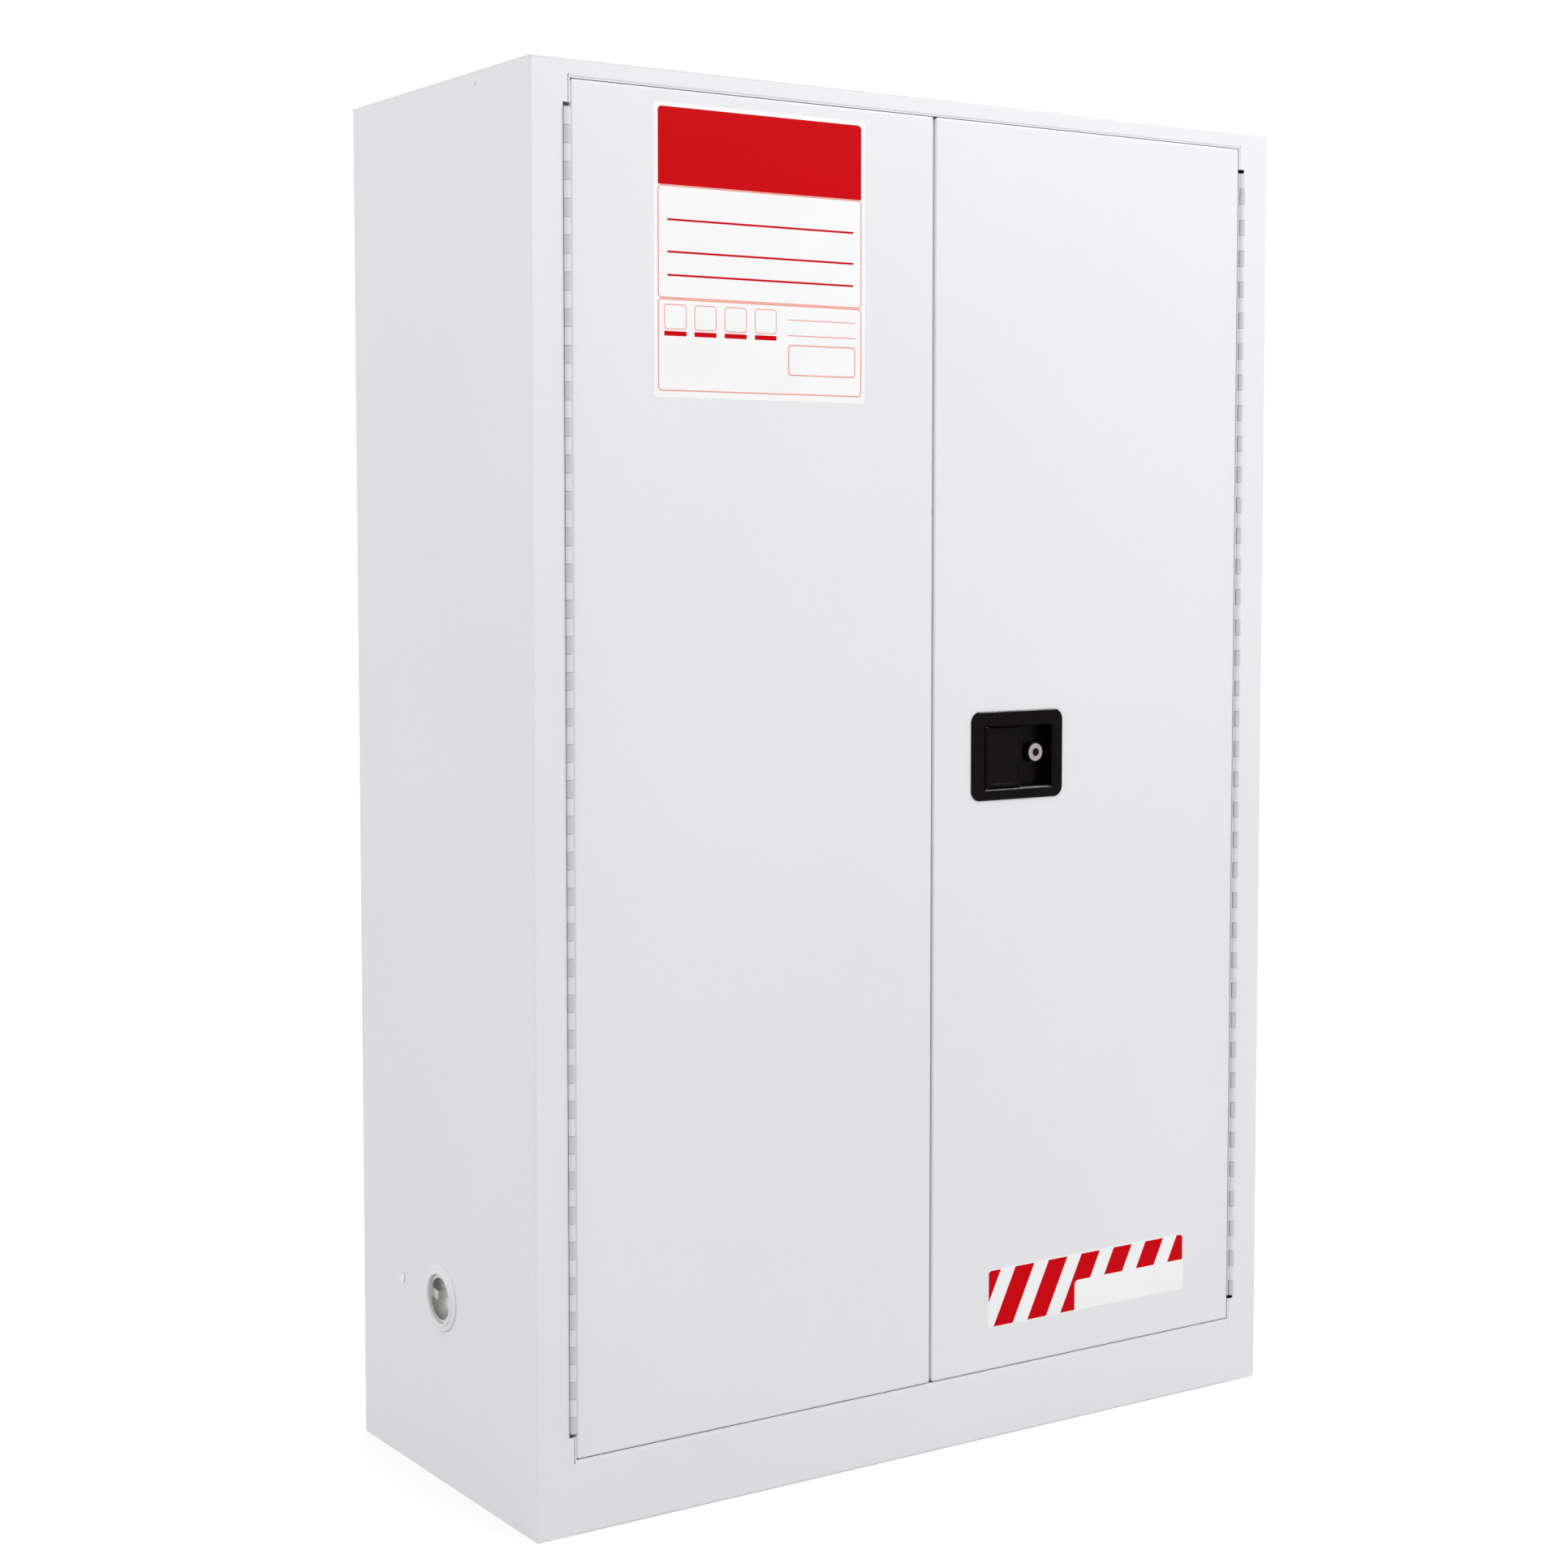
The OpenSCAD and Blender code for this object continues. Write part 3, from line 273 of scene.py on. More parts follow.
    def relief(self, layers: Iterable[tuple[bpy.types.NodeSocket, float]],
               round_edge: float = 0.0) -> None:
        """Feeds the normal with rounded edges and layers of height.

        Args:
            layers: Height patterns, each with its height in metres.
            round_edge: Radius to which sharp edges look rounded, or 0.
        """
        normal = None
        if round_edge:
            bevel = self.add("ShaderNodeBevel", samples=self.EDGE_SAMPLES)
            bevel.inputs["Radius"].default_value = round_edge
            normal = bevel.outputs["Normal"]
        for height, distance in layers:
            bump = self.add("ShaderNodeBump")
            bump.inputs["Distance"].default_value = distance
            self.link(height, bump.inputs["Height"])
            if normal:
                self.link(normal, bump.inputs["Normal"])
            normal = bump.outputs["Normal"]
        self.link(normal, self.shader.inputs["Normal"])


def shade(colour: Colour, factor: float) -> Colour:
    """Gives a colour multiplied by a factor."""
    return tuple(channel * factor for channel in colour)


@dataclass(frozen=True)
class PowderCoat:
    """Powder-coated steel: a satin skin with a fine orange peel; waves are per metre."""

    name: str
    colour: Colour
    roughness: float = 0.42
    play: Span = (-0.05, 0.06)
    edge_radius: float = 0.8 * MM
    cloud_waves: float = 2.2
    cloud_shade: float = 0.975
    satin_waves: float = 90
    peel_waves: float = 420
    peel_height: float = 0.1 * MM
    sheet_waves: float = 6
    sheet_height: float = 0.4 * MM

    def material(self) -> bpy.types.Material:
        """Builds the material.

        Returns:
            The new material.
        """
        graph = Graph(self.name)
        cloud = graph.noise(self.cloud_waves, 3)
        graph.tint(cloud, shade(self.colour, self.cloud_shade), self.colour)
        graph.roughen(graph.noise(self.satin_waves, 3), self.roughness, self.play)
        graph.relief([(graph.noise(self.peel_waves), self.peel_height),
                      (graph.noise(self.sheet_waves, 1), self.sheet_height)], self.edge_radius)
        return graph.material


@dataclass(frozen=True)
class ZincCoat:
    """Zinc-coated metal: dull, with crystals and light rolling marks; waves are per metre."""

    name: str
    colour: Colour
    crystals: float
    contrast: float
    roughness: float = 0.42
    play: Span = (-0.1, 0.12)
    edge_radius: float = 0.4 * MM
    rolling_waves: float = 30
    rolling_stretch: tuple[float, float, float] = (2, 40, 40)
    rolling_height: float = 0.04 * MM
    grit_waves: float = 700
    grit_height: float = 0.02 * MM

    def material(self) -> bpy.types.Material:
        """Builds the material.

        Returns:
            The new material.
        """
        graph = Graph(self.name)
        crystals = graph.cells(self.crystals)
        graph.tint(crystals, shade(self.colour, 1 - self.contrast), self.colour, CELL_SPAN)
        graph.roughen(crystals, self.roughness, self.play, CELL_SPAN)
        rolled = graph.noise(self.rolling_waves, where=graph.stretched(self.rolling_stretch))
        graph.relief([(rolled, self.rolling_height),
                      (graph.noise(self.grit_waves), self.grit_height)], self.edge_radius)
        graph.set(Metallic=1.0)
        return graph.material


@dataclass(frozen=True)
class BrightPlate:
    """Bright-plated fitting with fine turning marks and faint smears; waves are per metre."""

    name: str
    colour: Colour
    roughness: float = 0.2
    play: Span = (0.0, 0.14)
    edge_radius: float = 0.3 * MM
    smear_waves: float = 160
    smear_shade: float = 0.9
    mark_waves: float = 3000
    mark_height: float = 0.008 * MM

    def material(self) -> bpy.types.Material:
        """Builds the material.

        Returns:
            The new material.
        """
        graph = Graph(self.name)
        smear = graph.noise(self.smear_waves, 4)
        graph.tint(smear, shade(self.colour, self.smear_shade), self.colour)
        graph.roughen(smear, self.roughness, self.play)
        graph.relief([(graph.noise(self.mark_waves, 1), self.mark_height)], self.edge_radius)
        graph.set(Metallic=1.0)
        return graph.material


@dataclass(frozen=True)
class MouldedPlastic:
    """Moulded plastic with a fine spark-eroded grain and a soft gloss; waves are per metre."""

    name: str
    colour: Colour
    roughness: float = 0.3
    gloss: float = 0.12
    play: Span = (-0.06, 0.08)
    edge_radius: float = 0.6 * MM
    grain_waves: float = 2600
    grain_height: float = 0.03 * MM
    wipe_waves: float = 45
    wipe_stretch: tuple[float, float, float] = (1, 1, 3)
    wipe_shades: Span = (0.8, 1.25)

    def material(self) -> bpy.types.Material:
        """Builds the material.

        Returns:
            The new material.
        """
        graph = Graph(self.name)
        wipe = graph.noise(self.wipe_waves, 4, graph.stretched(self.wipe_stretch))
        graph.tint(wipe, *(shade(self.colour, factor) for factor in self.wipe_shades))
        graph.roughen(wipe, self.roughness, self.play)
        graph.relief([(graph.noise(self.grain_waves), self.grain_height)], self.edge_radius)
        graph.set(Specular_IOR_Level=self.gloss)
        return graph.material


@dataclass(frozen=True)
class PrintedVinyl:
    """Self-adhesive vinyl or its ink, with the faint wave of a stuck film; waves are per metre."""

    name: str
    colour: Colour
    roughness: float = 0.34
    gloss: float = 0.1
    play: Span = (-0.04, 0.06)
    film_waves: float = 14
    film_height: float = 0.5 * MM
    film_shade: float = 0.965
    satin_waves: float = 200
    speck_waves: float = 900
    speck_height: float = 0.01 * MM

    def material(self) -> bpy.types.Material:
        """Builds the material.

        Returns:
            The new material.
        """
        graph = Graph(self.name)
        wave = graph.noise(self.film_waves)
        graph.tint(wave, shade(self.colour, self.film_shade), self.colour)
        graph.roughen(graph.noise(self.satin_waves, 3), self.roughness, self.play)
        graph.relief([(wave, self.film_height),
                      (graph.noise(self.speck_waves, 1), self.speck_height)])
        graph.set(Specular_IOR_Level=self.gloss)
        return graph.material


class Finish(Enum):
    """Finishes of this cabinet."""

    WHITE_PAINT = PowderCoat("white powder coat", linear(235, 235, 238))
    TRIM_PAINT = PowderCoat("powder coat on welds and folds", linear(235, 235, 238),
                            edge_radius=0.0)
    # Hinge leaves: the white coat greyed as painted shade of the hinge band, deeper on the frame
    # leaves than on the door leaves.
    FRAME_LEAF_PAINT = PowderCoat("powder coat with deep painted shade on frame leaves", linear(202, 202, 207), 0.4)
    DOOR_LEAF_PAINT = PowderCoat("powder coat with soft painted shade on door leaves", linear(224, 224, 229), 0.4)
    LINER_PAINT = PowderCoat("liner powder coat", linear(226, 228, 230), 0.5)
    ZINC = ZincCoat("zinc plate", (0.60, 0.62, 0.65), 520, 0.10)
    GALVANISED = ZincCoat("galvanised sheet", (0.66, 0.68, 0.70), 90, 0.22, 0.36)
    PLUG_ZINC = ZincCoat("cast vent plug", (0.60, 0.60, 0.59), 900, 0.18, 0.34)
    SCREW_ZINC = BrightPlate("bright zinc screw", (0.74, 0.74, 0.75), 0.26)
    SPRING_STEEL = ZincCoat("spring wire", (0.30, 0.31, 0.33), 1500, 0.2, 0.34)
    BRIGHT = BrightPlate("bright nickel", (0.45, 0.39, 0.40))
    BLACK = MouldedPlastic("black plastic", (0.0030, 0.0018, 0.0018), 0.26, 0.06)
    # Painted shadow: a near-black finish for a thin disc that stands for the dark keyway.
    KEY_SLOT = MouldedPlastic("keyway shadow", (0.004, 0.003, 0.003), 0.6)
    WHITE_VINYL = PrintedVinyl("white vinyl", linear(252, 252, 252))
    RED_INK = PrintedVinyl("red ink", linear(209, 2, 16), gloss=0.04)
    LINE_INK = PrintedVinyl("fine line ink", linear(241, 160, 146))

    def material(self) -> bpy.types.Material:
        """Gives the finish's material, built at its first use."""
        return bpy.data.materials.get(self.value.name) or self.value.material()


# ---------- helpers for pieces ----------


def add_piece(shape: bmesh.types.BMesh, name: str, finish: Finish, body: Body) -> bpy.types.Object:
    """Makes a finished piece from a shape and lets it ride on a body.

    Args:
        shape: The piece in its place; freed here.
        name: Name of the piece.
        finish: Its finish.
        body: The body that it moves with.

    Returns:
        The new object.
    """
    mesh = bpy.data.meshes.new(name)
    shape.to_mesh(mesh)
    shape.free()
    piece = bpy.data.objects.new(name, mesh)
    bpy.context.scene.collection.objects.link(piece)
    mesh.materials.append(finish.material())
    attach(piece, body.value)
    LOG.info("%s: %d faces", name, len(mesh.polygons))
    return piece


def soften(piece: bpy.types.Object, width: float, segments: int = 3) -> None:
    """Rounds a piece's sharp edges and shades it smooth.

    Args:
        piece: The piece, with its doubles merged.
        width: Radius of the rounded edges.
        segments: Faces across each rounded edge.
    """
    piece.data.polygons.foreach_set("use_smooth", [True] * len(piece.data.polygons))
    bevel = piece.modifiers.new("rounded edges", "BEVEL")
    bevel.width = width
    bevel.segments = segments
    bevel.limit_method = "ANGLE"
    bevel.angle_limit = SHARP_ABOVE
    bevel.miter_outer = "MITER_ARC"
    normals = piece.modifiers.new("flat faces stay flat", "WEIGHTED_NORMAL")
    normals.weight = 100
    normals.keep_sharp = True


class FlatWork:
    """Flat shapes on a door's face, all on one plane and of one thickness, looking towards -Y."""

    CORNER_STEPS = 6

    def __init__(self, back_y: float, thickness: float) -> None:
        """Starts without any shape.

        Args:
            back_y: Plane that the shapes lie on.
            thickness: Their thickness.
        """
        self.shape = bmesh.new()
        self.front_y = back_y - thickness
        self.thickness = thickness

    def panel(self, low: Point, high: Point, radius: float = 0.0,
              corners: Iterable[tuple[int, int]] = CORNERS) -> bmesh.types.BMFace:
        """Adds a rectangle.

        Args:
            low: Its lowest x and z.
            high: Its highest x and z.
            radius: Radius of its round corners.
            corners: Sides of x and z, -1 or 1, at which a corner is round.

        Returns:
            The rectangle's face.
        """
        middle = ((low[0] + high[0]) / 2, (low[1] + high[1]) / 2)
        before = set(self.shape.faces)
        place = (Matrix.Translation((middle[0], self.front_y, middle[1]))
                 @ Matrix.Rotation(math.pi / 2, 4, "X")
                 @ Matrix.Diagonal((high[0] - low[0], high[1] - low[1], 1, 1)))
        made = bmesh.ops.create_grid(self.shape, x_segments=1, y_segments=1, size=0.5,
                                     matrix=place)["verts"]
        wanted = set(corners)
        rounded = [v for v in made
                   if (1 if v.co.x > middle[0] else -1, 1 if v.co.z > middle[1] else -1) in wanted]
        if radius and rounded:
            bmesh.ops.bevel(self.shape, geom=rounded, offset=radius, offset_type="OFFSET",
                            segments=self.CORNER_STEPS, profile=0.5, affect="VERTICES", material=-1)
        return next(face for face in self.shape.faces if face not in before)

    def outline(self, low: Point, high: Point, radius: float, line: float) -> None:
        """Adds a frame of lines.

        Args:
            low: Its lowest x and z, outside.
            high: Its highest x and z, outside.
            radius: Radius of its outer corners.
            line: Width of its lines.
        """
        face = self.panel(low, high, radius)
        bmesh.ops.inset_region(self.shape, faces=[face], thickness=line, use_even_offset=True,
                                use_boundary=True)
        bmesh.ops.delete(self.shape, geom=[face], context="FACES")

    def cut(self, place: Point, direction: Point) -> None:
        """Cuts all faces along a line.

        Args:
            place: A point of the line.
            direction: Where the line runs.
        """
        everything = [*self.shape.verts, *self.shape.edges, *self.shape.faces]
        bmesh.ops.bisect_plane(self.shape, geom=everything, plane_co=(place[0], 0, place[1]),
                               plane_no=(direction[1], 0, -direction[0]))

    def piece(self, name: str, finish: Finish, body: Body, slot: Slot) -> None:
        """Gives the shapes their thickness and makes them a piece.

        Args:
            name: Name of the piece.
            finish: Its finish.
            body: The body that it moves with.
            slot: Not used.
        """
        made = bmesh.ops.extrude_face_region(self.shape, geom=list(self.shape.faces),
                                             use_keep_orig=True)
        moved = [v for v in made["geom"] if isinstance(v, bmesh.types.BMVert)]
        bmesh.ops.translate(self.shape, vec=(0, self.thickness, 0), verts=moved)
        bmesh.ops.recalc_face_normals(self.shape, faces=self.shape.faces)
        add_piece(self.shape, name, finish, body)


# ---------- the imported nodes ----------


@dataclass
class PackedNodes:
    """The cabinet's own solids, which stay as they are and get their finishes."""

    nodes: dict[str, bpy.types.Object]
    slots: dict[str, Slot]
    special: dict[str, Finish] = field(default_factory=lambda: {
        "vent_plug_left": Finish.PLUG_ZINC, "vent_plug_right": Finish.PLUG_ZINC,
        # The hinge leaves take greyed coats as painted shade: deeper on the frame leaves, softer on
        # the door leaves.
        "hinge_frame_leaf_left": Finish.FRAME_LEAF_PAINT,
        "hinge_frame_leaf_right": Finish.FRAME_LEAF_PAINT,
        "hinge_door_leaf_left": Finish.DOOR_LEAF_PAINT,
        "hinge_door_leaf_right": Finish.DOOR_LEAF_PAINT,
        "ground_screw": Finish.SCREW_ZINC})
    turned: tuple[str, ...] = (
        "upper_rod", "lower_rod", "hinge_pins", "latch_pivot_pin", "flame_arresters",
        "arrester_rings", "foot_nuts", "rod_guides", "paddle_spring")
    finishes: dict[Slot, Finish] = field(default_factory=lambda: {
        Slot.PAINT: Finish.WHITE_PAINT, Slot.LINER: Finish.LINER_PAINT, Slot.ZINC: Finish.ZINC,
        Slot.GALVANISED: Finish.GALVANISED, Slot.BRIGHT: Finish.BRIGHT,
        Slot.SPRING_STEEL: Finish.SPRING_STEEL, Slot.BLACK: Finish.BLACK})

    def finish_of(self, name: str) -> Finish:
        """Gives the finish of a node."""
        return self.special.get(name) or self.finishes[self.slots[name]]

    def paint(self) -> None:
        """Gives every node its finish."""
        for name, node in self.nodes.items():
            node.data.materials.clear()
            node.data.materials.append(self.finish_of(name).material())
            LOG.info("%s: %s", name, self.finish_of(name).name)

    def round_off(self) -> None:
        """Shades the turned nodes smooth without touching their points."""
        for name in self.turned:
            node = self.nodes[name]
            node.data.polygons.foreach_set("use_smooth", [True] * len(node.data.polygons))
            weld = node.modifiers.new("joined triangles", "WELD")
            weld.merge_threshold = SAME_POINT
            split = node.modifiers.new("sharp edges", "EDGE_SPLIT")
            split.split_angle = TURNED_SHARP_ABOVE

    def soften_node(self, name: str, body: Body, width: float, segments: int = 3) -> None:
        """Replaces a node by a copy of itself with rounded edges.

        Args:
            name: Name of the node.
            body: The body that it moves with.
            width: Radius of the rounded edges.
            segments: Faces across each rounded edge.
        """
        shape = bmesh.new()
        shape.from_mesh(self.nodes[name].data)
        bmesh.ops.remove_doubles(shape, verts=shape.verts, dist=SAME_POINT)
        bmesh.ops.dissolve_limit(shape, angle_limit=FLAT_BELOW, verts=shape.verts,
                                 edges=shape.edges)
        piece = add_piece(shape, f"{name}_rounded", self.finish_of(name), body)
        soften(piece, width, segments)
        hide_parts(name)


# ---------- stickers ----------


@dataclass
class DoorLabel:
    """White sticker on the left door with a red band and a blank write-on form; in millimetres."""

    low: Point = (-389.3, 1284.7)
    high: Point = (-99.2, 1614.3)
    corner: float = 6.0
    band_low: Point = (-383.6, 1522.7)
    band_high: Point = (-105.2, 1609.5)
    band_corner: float = 5.0
    frame_left: float = -384.0
    frame_right: float = -104.5
    divider_z: float = 1396.0
    frame_bottom: float = 1292.0
    frame_line: float = 1.5
    frame_corner: float = 5.0
    frame_gap: float = 0.3
    heading_rules: tuple[float, ...] = (1484.0, 1448.0, 1422.0)
    rule_span: Span = (-371.5, -116.3)
    rule_width: float = 2.4
    boxes: tuple[Span, ...] = (
        (-375.8, -346.2), (-335.9, -306.2), (-295.5, -265.3), (-254.4, -224.4))
    box_span: Span = (1361.1, 1389.6)
    box_corner: float = 4.0
    box_line: float = 1.1
    bar_span: Span = (1353.9, 1359.3)
    bar_corner: float = 1.0
    write_low: Point = (-208.5, 1314.2)
    write_high: Point = (-113.3, 1350.2)
    note_rules: tuple[float, ...] = (1378.0, 1360.0)
    note_width: float = 1.2
    film: float = 0.15
    ink: float = 0.04

    def build(self, face_y: float) -> None:
        """Builds the sticker.

        Args:
            face_y: Plane of the door's face.
        """
        film = FlatWork(face_y, self.film * MM)
        film.panel(in_metres(self.low), in_metres(self.high), self.corner * MM)
        film.piece("door_label_film", Finish.WHITE_VINYL, Body.LEFT_DOOR, Slot.WHITE_VINYL)
        self.print_solid(film.front_y)
        self.print_lines(film.front_y)

    def print_solid(self, film_y: float) -> None:
        """Prints the band, the ruled lines and the bars in full red.

        Args:
            film_y: Plane of the film's face.
        """
        print_work = FlatWork(film_y, self.ink * MM)
        print_work.panel(in_metres(self.band_low), in_metres(self.band_high),
                         self.band_corner * MM, ((-1, 1), (1, 1)))
        for rule in self.heading_rules:
            print_work.panel(in_metres((self.rule_span[0], rule - self.rule_width / 2)),
                             in_metres((self.rule_span[1], rule + self.rule_width / 2)))
        for left, right in self.boxes:
            print_work.panel(in_metres((left, self.bar_span[0])),
                             in_metres((right, self.bar_span[1])), self.bar_corner * MM)
        print_work.piece("door_label_print", Finish.RED_INK, Body.LEFT_DOOR, Slot.RED_VINYL)

    def print_lines(self, film_y: float) -> None:
        """Prints the thin frames and the note lines in a lighter red.

        Args:
            film_y: Plane of the film's face.
        """
        lines = FlatWork(film_y, self.ink * MM)
        for bottom, top in ((self.divider_z, self.band_low[1] - self.frame_gap),
                            (self.frame_bottom, self.divider_z - self.frame_gap)):
            lines.outline(in_metres((self.frame_left, bottom)), in_metres((self.frame_right, top)),
                          self.frame_corner * MM, self.frame_line * MM)
        for left, right in self.boxes:
            lines.outline(in_metres((left, self.box_span[0])),
                          in_metres((right, self.box_span[1])),
                          self.box_corner * MM, self.box_line * MM)
        lines.outline(in_metres(self.write_low), in_metres(self.write_high),
                      self.frame_corner * MM, self.frame_line * MM)
        for rule in self.note_rules:
            lines.panel(in_metres((self.write_low[0], rule)),
                        in_metres((self.write_high[0], rule + self.note_width)))
        lines.piece("door_label_lines", Finish.LINE_INK, Body.LEFT_DOOR, Slot.RED_VINYL)


@dataclass
class StripedPanel:
    """White sticker on the right door with slanted red stripes and a bare field; in millimetres."""

    low: Point = (91.0, 139.5)
    high: Point = (415.0, 213.5)
    corner: float = 6.0
    margin: float = 1.3
    first_stripe: float = 81.3
    pitch: float = 53.7
    width: float = 30.5
    count: int = 7
    slant: float = 0.487
    field_low: Point = (231.0, 139.7)
    field_high: Point = (414.8, 179.0)
    film: float = 0.15
    ink: float = 0.04

    def build(self, face_y: float) -> None:
        """Builds the sticker.

        Args:
            face_y: Plane of the door's face.
        """
        film = FlatWork(face_y, self.film * MM)
        film.panel(in_metres(self.low), in_metres(self.high), self.corner * MM)
        film.piece("striped_panel_film", Finish.WHITE_VINYL, Body.RIGHT_DOOR, Slot.WHITE_VINYL)
        stripes = self.stripes(film.front_y)
        stripes.piece("striped_panel_print", Finish.RED_INK, Body.RIGHT_DOOR, Slot.RED_VINYL)
        bare = FlatWork(stripes.front_y, self.ink * MM)
        bare.panel(in_metres(self.field_low), in_metres(self.field_high), self.corner * MM,
                   ((-1, 1), (1, -1)))
        bare.piece("striped_panel_field", Finish.WHITE_VINYL, Body.RIGHT_DOOR, Slot.WHITE_VINYL)

    def stripes(self, film_y: float) -> FlatWork:
        """Cuts slanted stripes out of one rounded rectangle.

        Args:
            film_y: Plane of the film's face.

        Returns:
            The stripes.
        """
        work = FlatWork(film_y, self.ink * MM)
        top = self.high[1] - self.margin
        work.panel(in_metres((self.low[0] + self.margin, self.low[1] + self.margin)),
                   in_metres((self.high[0] - self.margin, top)), (self.corner - self.margin) * MM)
        for k in range(self.count):
            left = self.first_stripe + k * self.pitch
            for edge in (left, left + self.width):
                work.cut(in_metres((edge, top)), (self.slant, 1.0))
        gaps = [face for face in work.shape.faces
                if not self.in_stripe(face.calc_center_median(), top)]
        bmesh.ops.delete(work.shape, geom=gaps, context="FACES")
        return work

    def in_stripe(self, place: Vector, top: float) -> bool:
        """Says whether a place lies in a stripe; top is the height at which they are placed."""
        along = place.x / MM + (top - place.z / MM) * self.slant - self.first_stripe
        return along % self.pitch < self.width


# ---------- fittings ----------


@dataclass
class PaddleLatch:
    """Black flush latch on the right door with its bright key lock."""

    packed: PackedNodes
    plate_edge: float = 0.7 * MM
    paddle_edge: float = 0.9 * MM
    ring_edge: float = 0.8 * MM
    plug_edge: float = 0.25 * MM
    shadow_disc_r: float = 5.4 * MM
    shadow_disc_taper: float = 0.86
    shadow_disc_t: float = 0.5 * MM
    shadow_disc_edge: float = 0.12 * MM
    shadow_disc_steps: int = 48

    def build(self) -> None:
        """Rounds the latch's mouldings and fittings and puts a dark disc into the key plug as
        painted shadow of its keyway.
        """
        self.packed.soften_node("latch_housing", Body.RIGHT_DOOR, self.plate_edge)
        self.packed.soften_node("latch_paddle", Body.PADDLE, self.paddle_edge)
        self.packed.soften_node("lock_barrel", Body.RIGHT_DOOR, self.ring_edge)
        self.packed.soften_node("lock_plug", Body.LOCK, self.plug_edge, 2)
        self.add_keyway_shadow()

    def add_keyway_shadow(self) -> None:
        """Adds a thin dark disc in the middle of the key plug: painted shadow of the keyway."""
        low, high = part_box("lock_barrel")
        middle = (low + high) / 2
        face_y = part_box("lock_plug")[0].y
        shape = bmesh.new()
        place = (Matrix.Translation((middle.x, face_y, middle.z))
                 @ Matrix.Rotation(math.pi / 2, 4, "X"))
        bmesh.ops.create_cone(shape, cap_ends=True, segments=self.shadow_disc_steps,
                              radius1=self.shadow_disc_r, radius2=self.shadow_disc_r * self.shadow_disc_taper,
                              depth=self.shadow_disc_t, matrix=place)
        rim = [edge for edge in shape.edges if edge.calc_face_angle(0) > 1]
        bmesh.ops.bevel(shape, geom=rim, offset=self.shadow_disc_edge, offset_type="OFFSET",
                        segments=2, profile=0.5, affect="EDGES", material=-1)
        # The disc's near-black finish is painted shadow of the keyway.
        add_piece(shape, "keyway_painted_shadow", Finish.KEY_SLOT, Body.LOCK)


@dataclass
class VentSet:
    """Vents low on the left and high on the right, with the ground screw; in millimetres."""

    packed: PackedNodes
    collar_profile: tuple[Point, ...] = (
        (29.5, 4.4), (30.2, 5.0), (32.4, 5.0), (33.1, 4.3), (33.1, 3.0), (37.6, 3.0), (39.0, 1.6),
        (39.0, 0.0), (31.5, 0.0), (31.5, -44.4), (26.0, -44.4), (26.0, -42.9), (29.5, -42.9))
    collar_proud: float = 5.0
    collar_steps: int = 96
    collar_edge: float = 0.5
    plug_edge: float = 0.8
    screw_edge: float = 0.3

    def build(self) -> None:
        """Turns the collars and rounds the plugs and the screw."""
        for side, name, body in ((-1, "left", Body.LEFT_PLUG), (1, "right", Body.RIGHT_PLUG)):
            self.turn_collar(side, f"vent_collar_{name}")
            self.packed.soften_node(f"vent_plug_{name}", body, self.plug_edge * MM)
        self.packed.soften_node("ground_screw", Body.CABINET, self.screw_edge * MM, 2)

    def turn_collar(self, side: int, node: str) -> None:
        """Turns the profile of a collar round the vent's axis.

        Args:
            side: Side of the cabinet, -1 or 1.
            node: The node that the collar replaces.
        """
        low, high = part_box(node)
        middle = (low + high) / 2
        wall_x = (low.x if side < 0 else high.x) - side * self.collar_proud * MM
        shape = bmesh.new()
        points = [shape.verts.new((radius * MM, 0, out * MM))
                  for radius, out in self.collar_profile]
        edges = [shape.edges.new(pair) for pair in zip(points, points[1:] + points[:1])]
        bmesh.ops.spin(shape, geom=[*points, *edges], cent=(0, 0, 0), axis=(0, 0, 1),
                       angle=2 * math.pi, steps=self.collar_steps, use_merge=True)
        place = (Matrix.Translation((wall_x, middle.y, middle.z))
                 @ Matrix.Rotation(side * math.pi / 2, 4, "Y"))
        bmesh.ops.transform(shape, matrix=place, verts=shape.verts)
        bmesh.ops.remove_doubles(shape, verts=shape.verts, dist=SAME_POINT / 2)
        bmesh.ops.recalc_face_normals(shape, faces=shape.faces)
        collar = add_piece(shape, f"{node}_turned", Finish.WHITE_PAINT, Body.CABINET)
        soften(collar, self.collar_edge * MM, 2)
        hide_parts(node)


def add_block(low: Vector, high: Vector, edge: float, name: str) -> None:
    """Adds a painted block with broken edges to the frame.

    Args:
        low: Its lowest corner.
        high: Its highest corner.
        edge: Width of its broken edges.
        name: Name of the piece.
    """
    shape = bmesh.new()
    bmesh.ops.create_cube(shape, size=1, matrix=Matrix.Translation((low + high) / 2)
                          @ Matrix.Diagonal((*(high - low), 1)))
    bmesh.ops.bevel(shape, geom=shape.edges[:], offset=edge, offset_type="OFFSET", segments=1,
                    profile=0.5, affect="EDGES", material=-1)
    add_piece(shape, name, Finish.TRIM_PAINT, Body.CABINET)


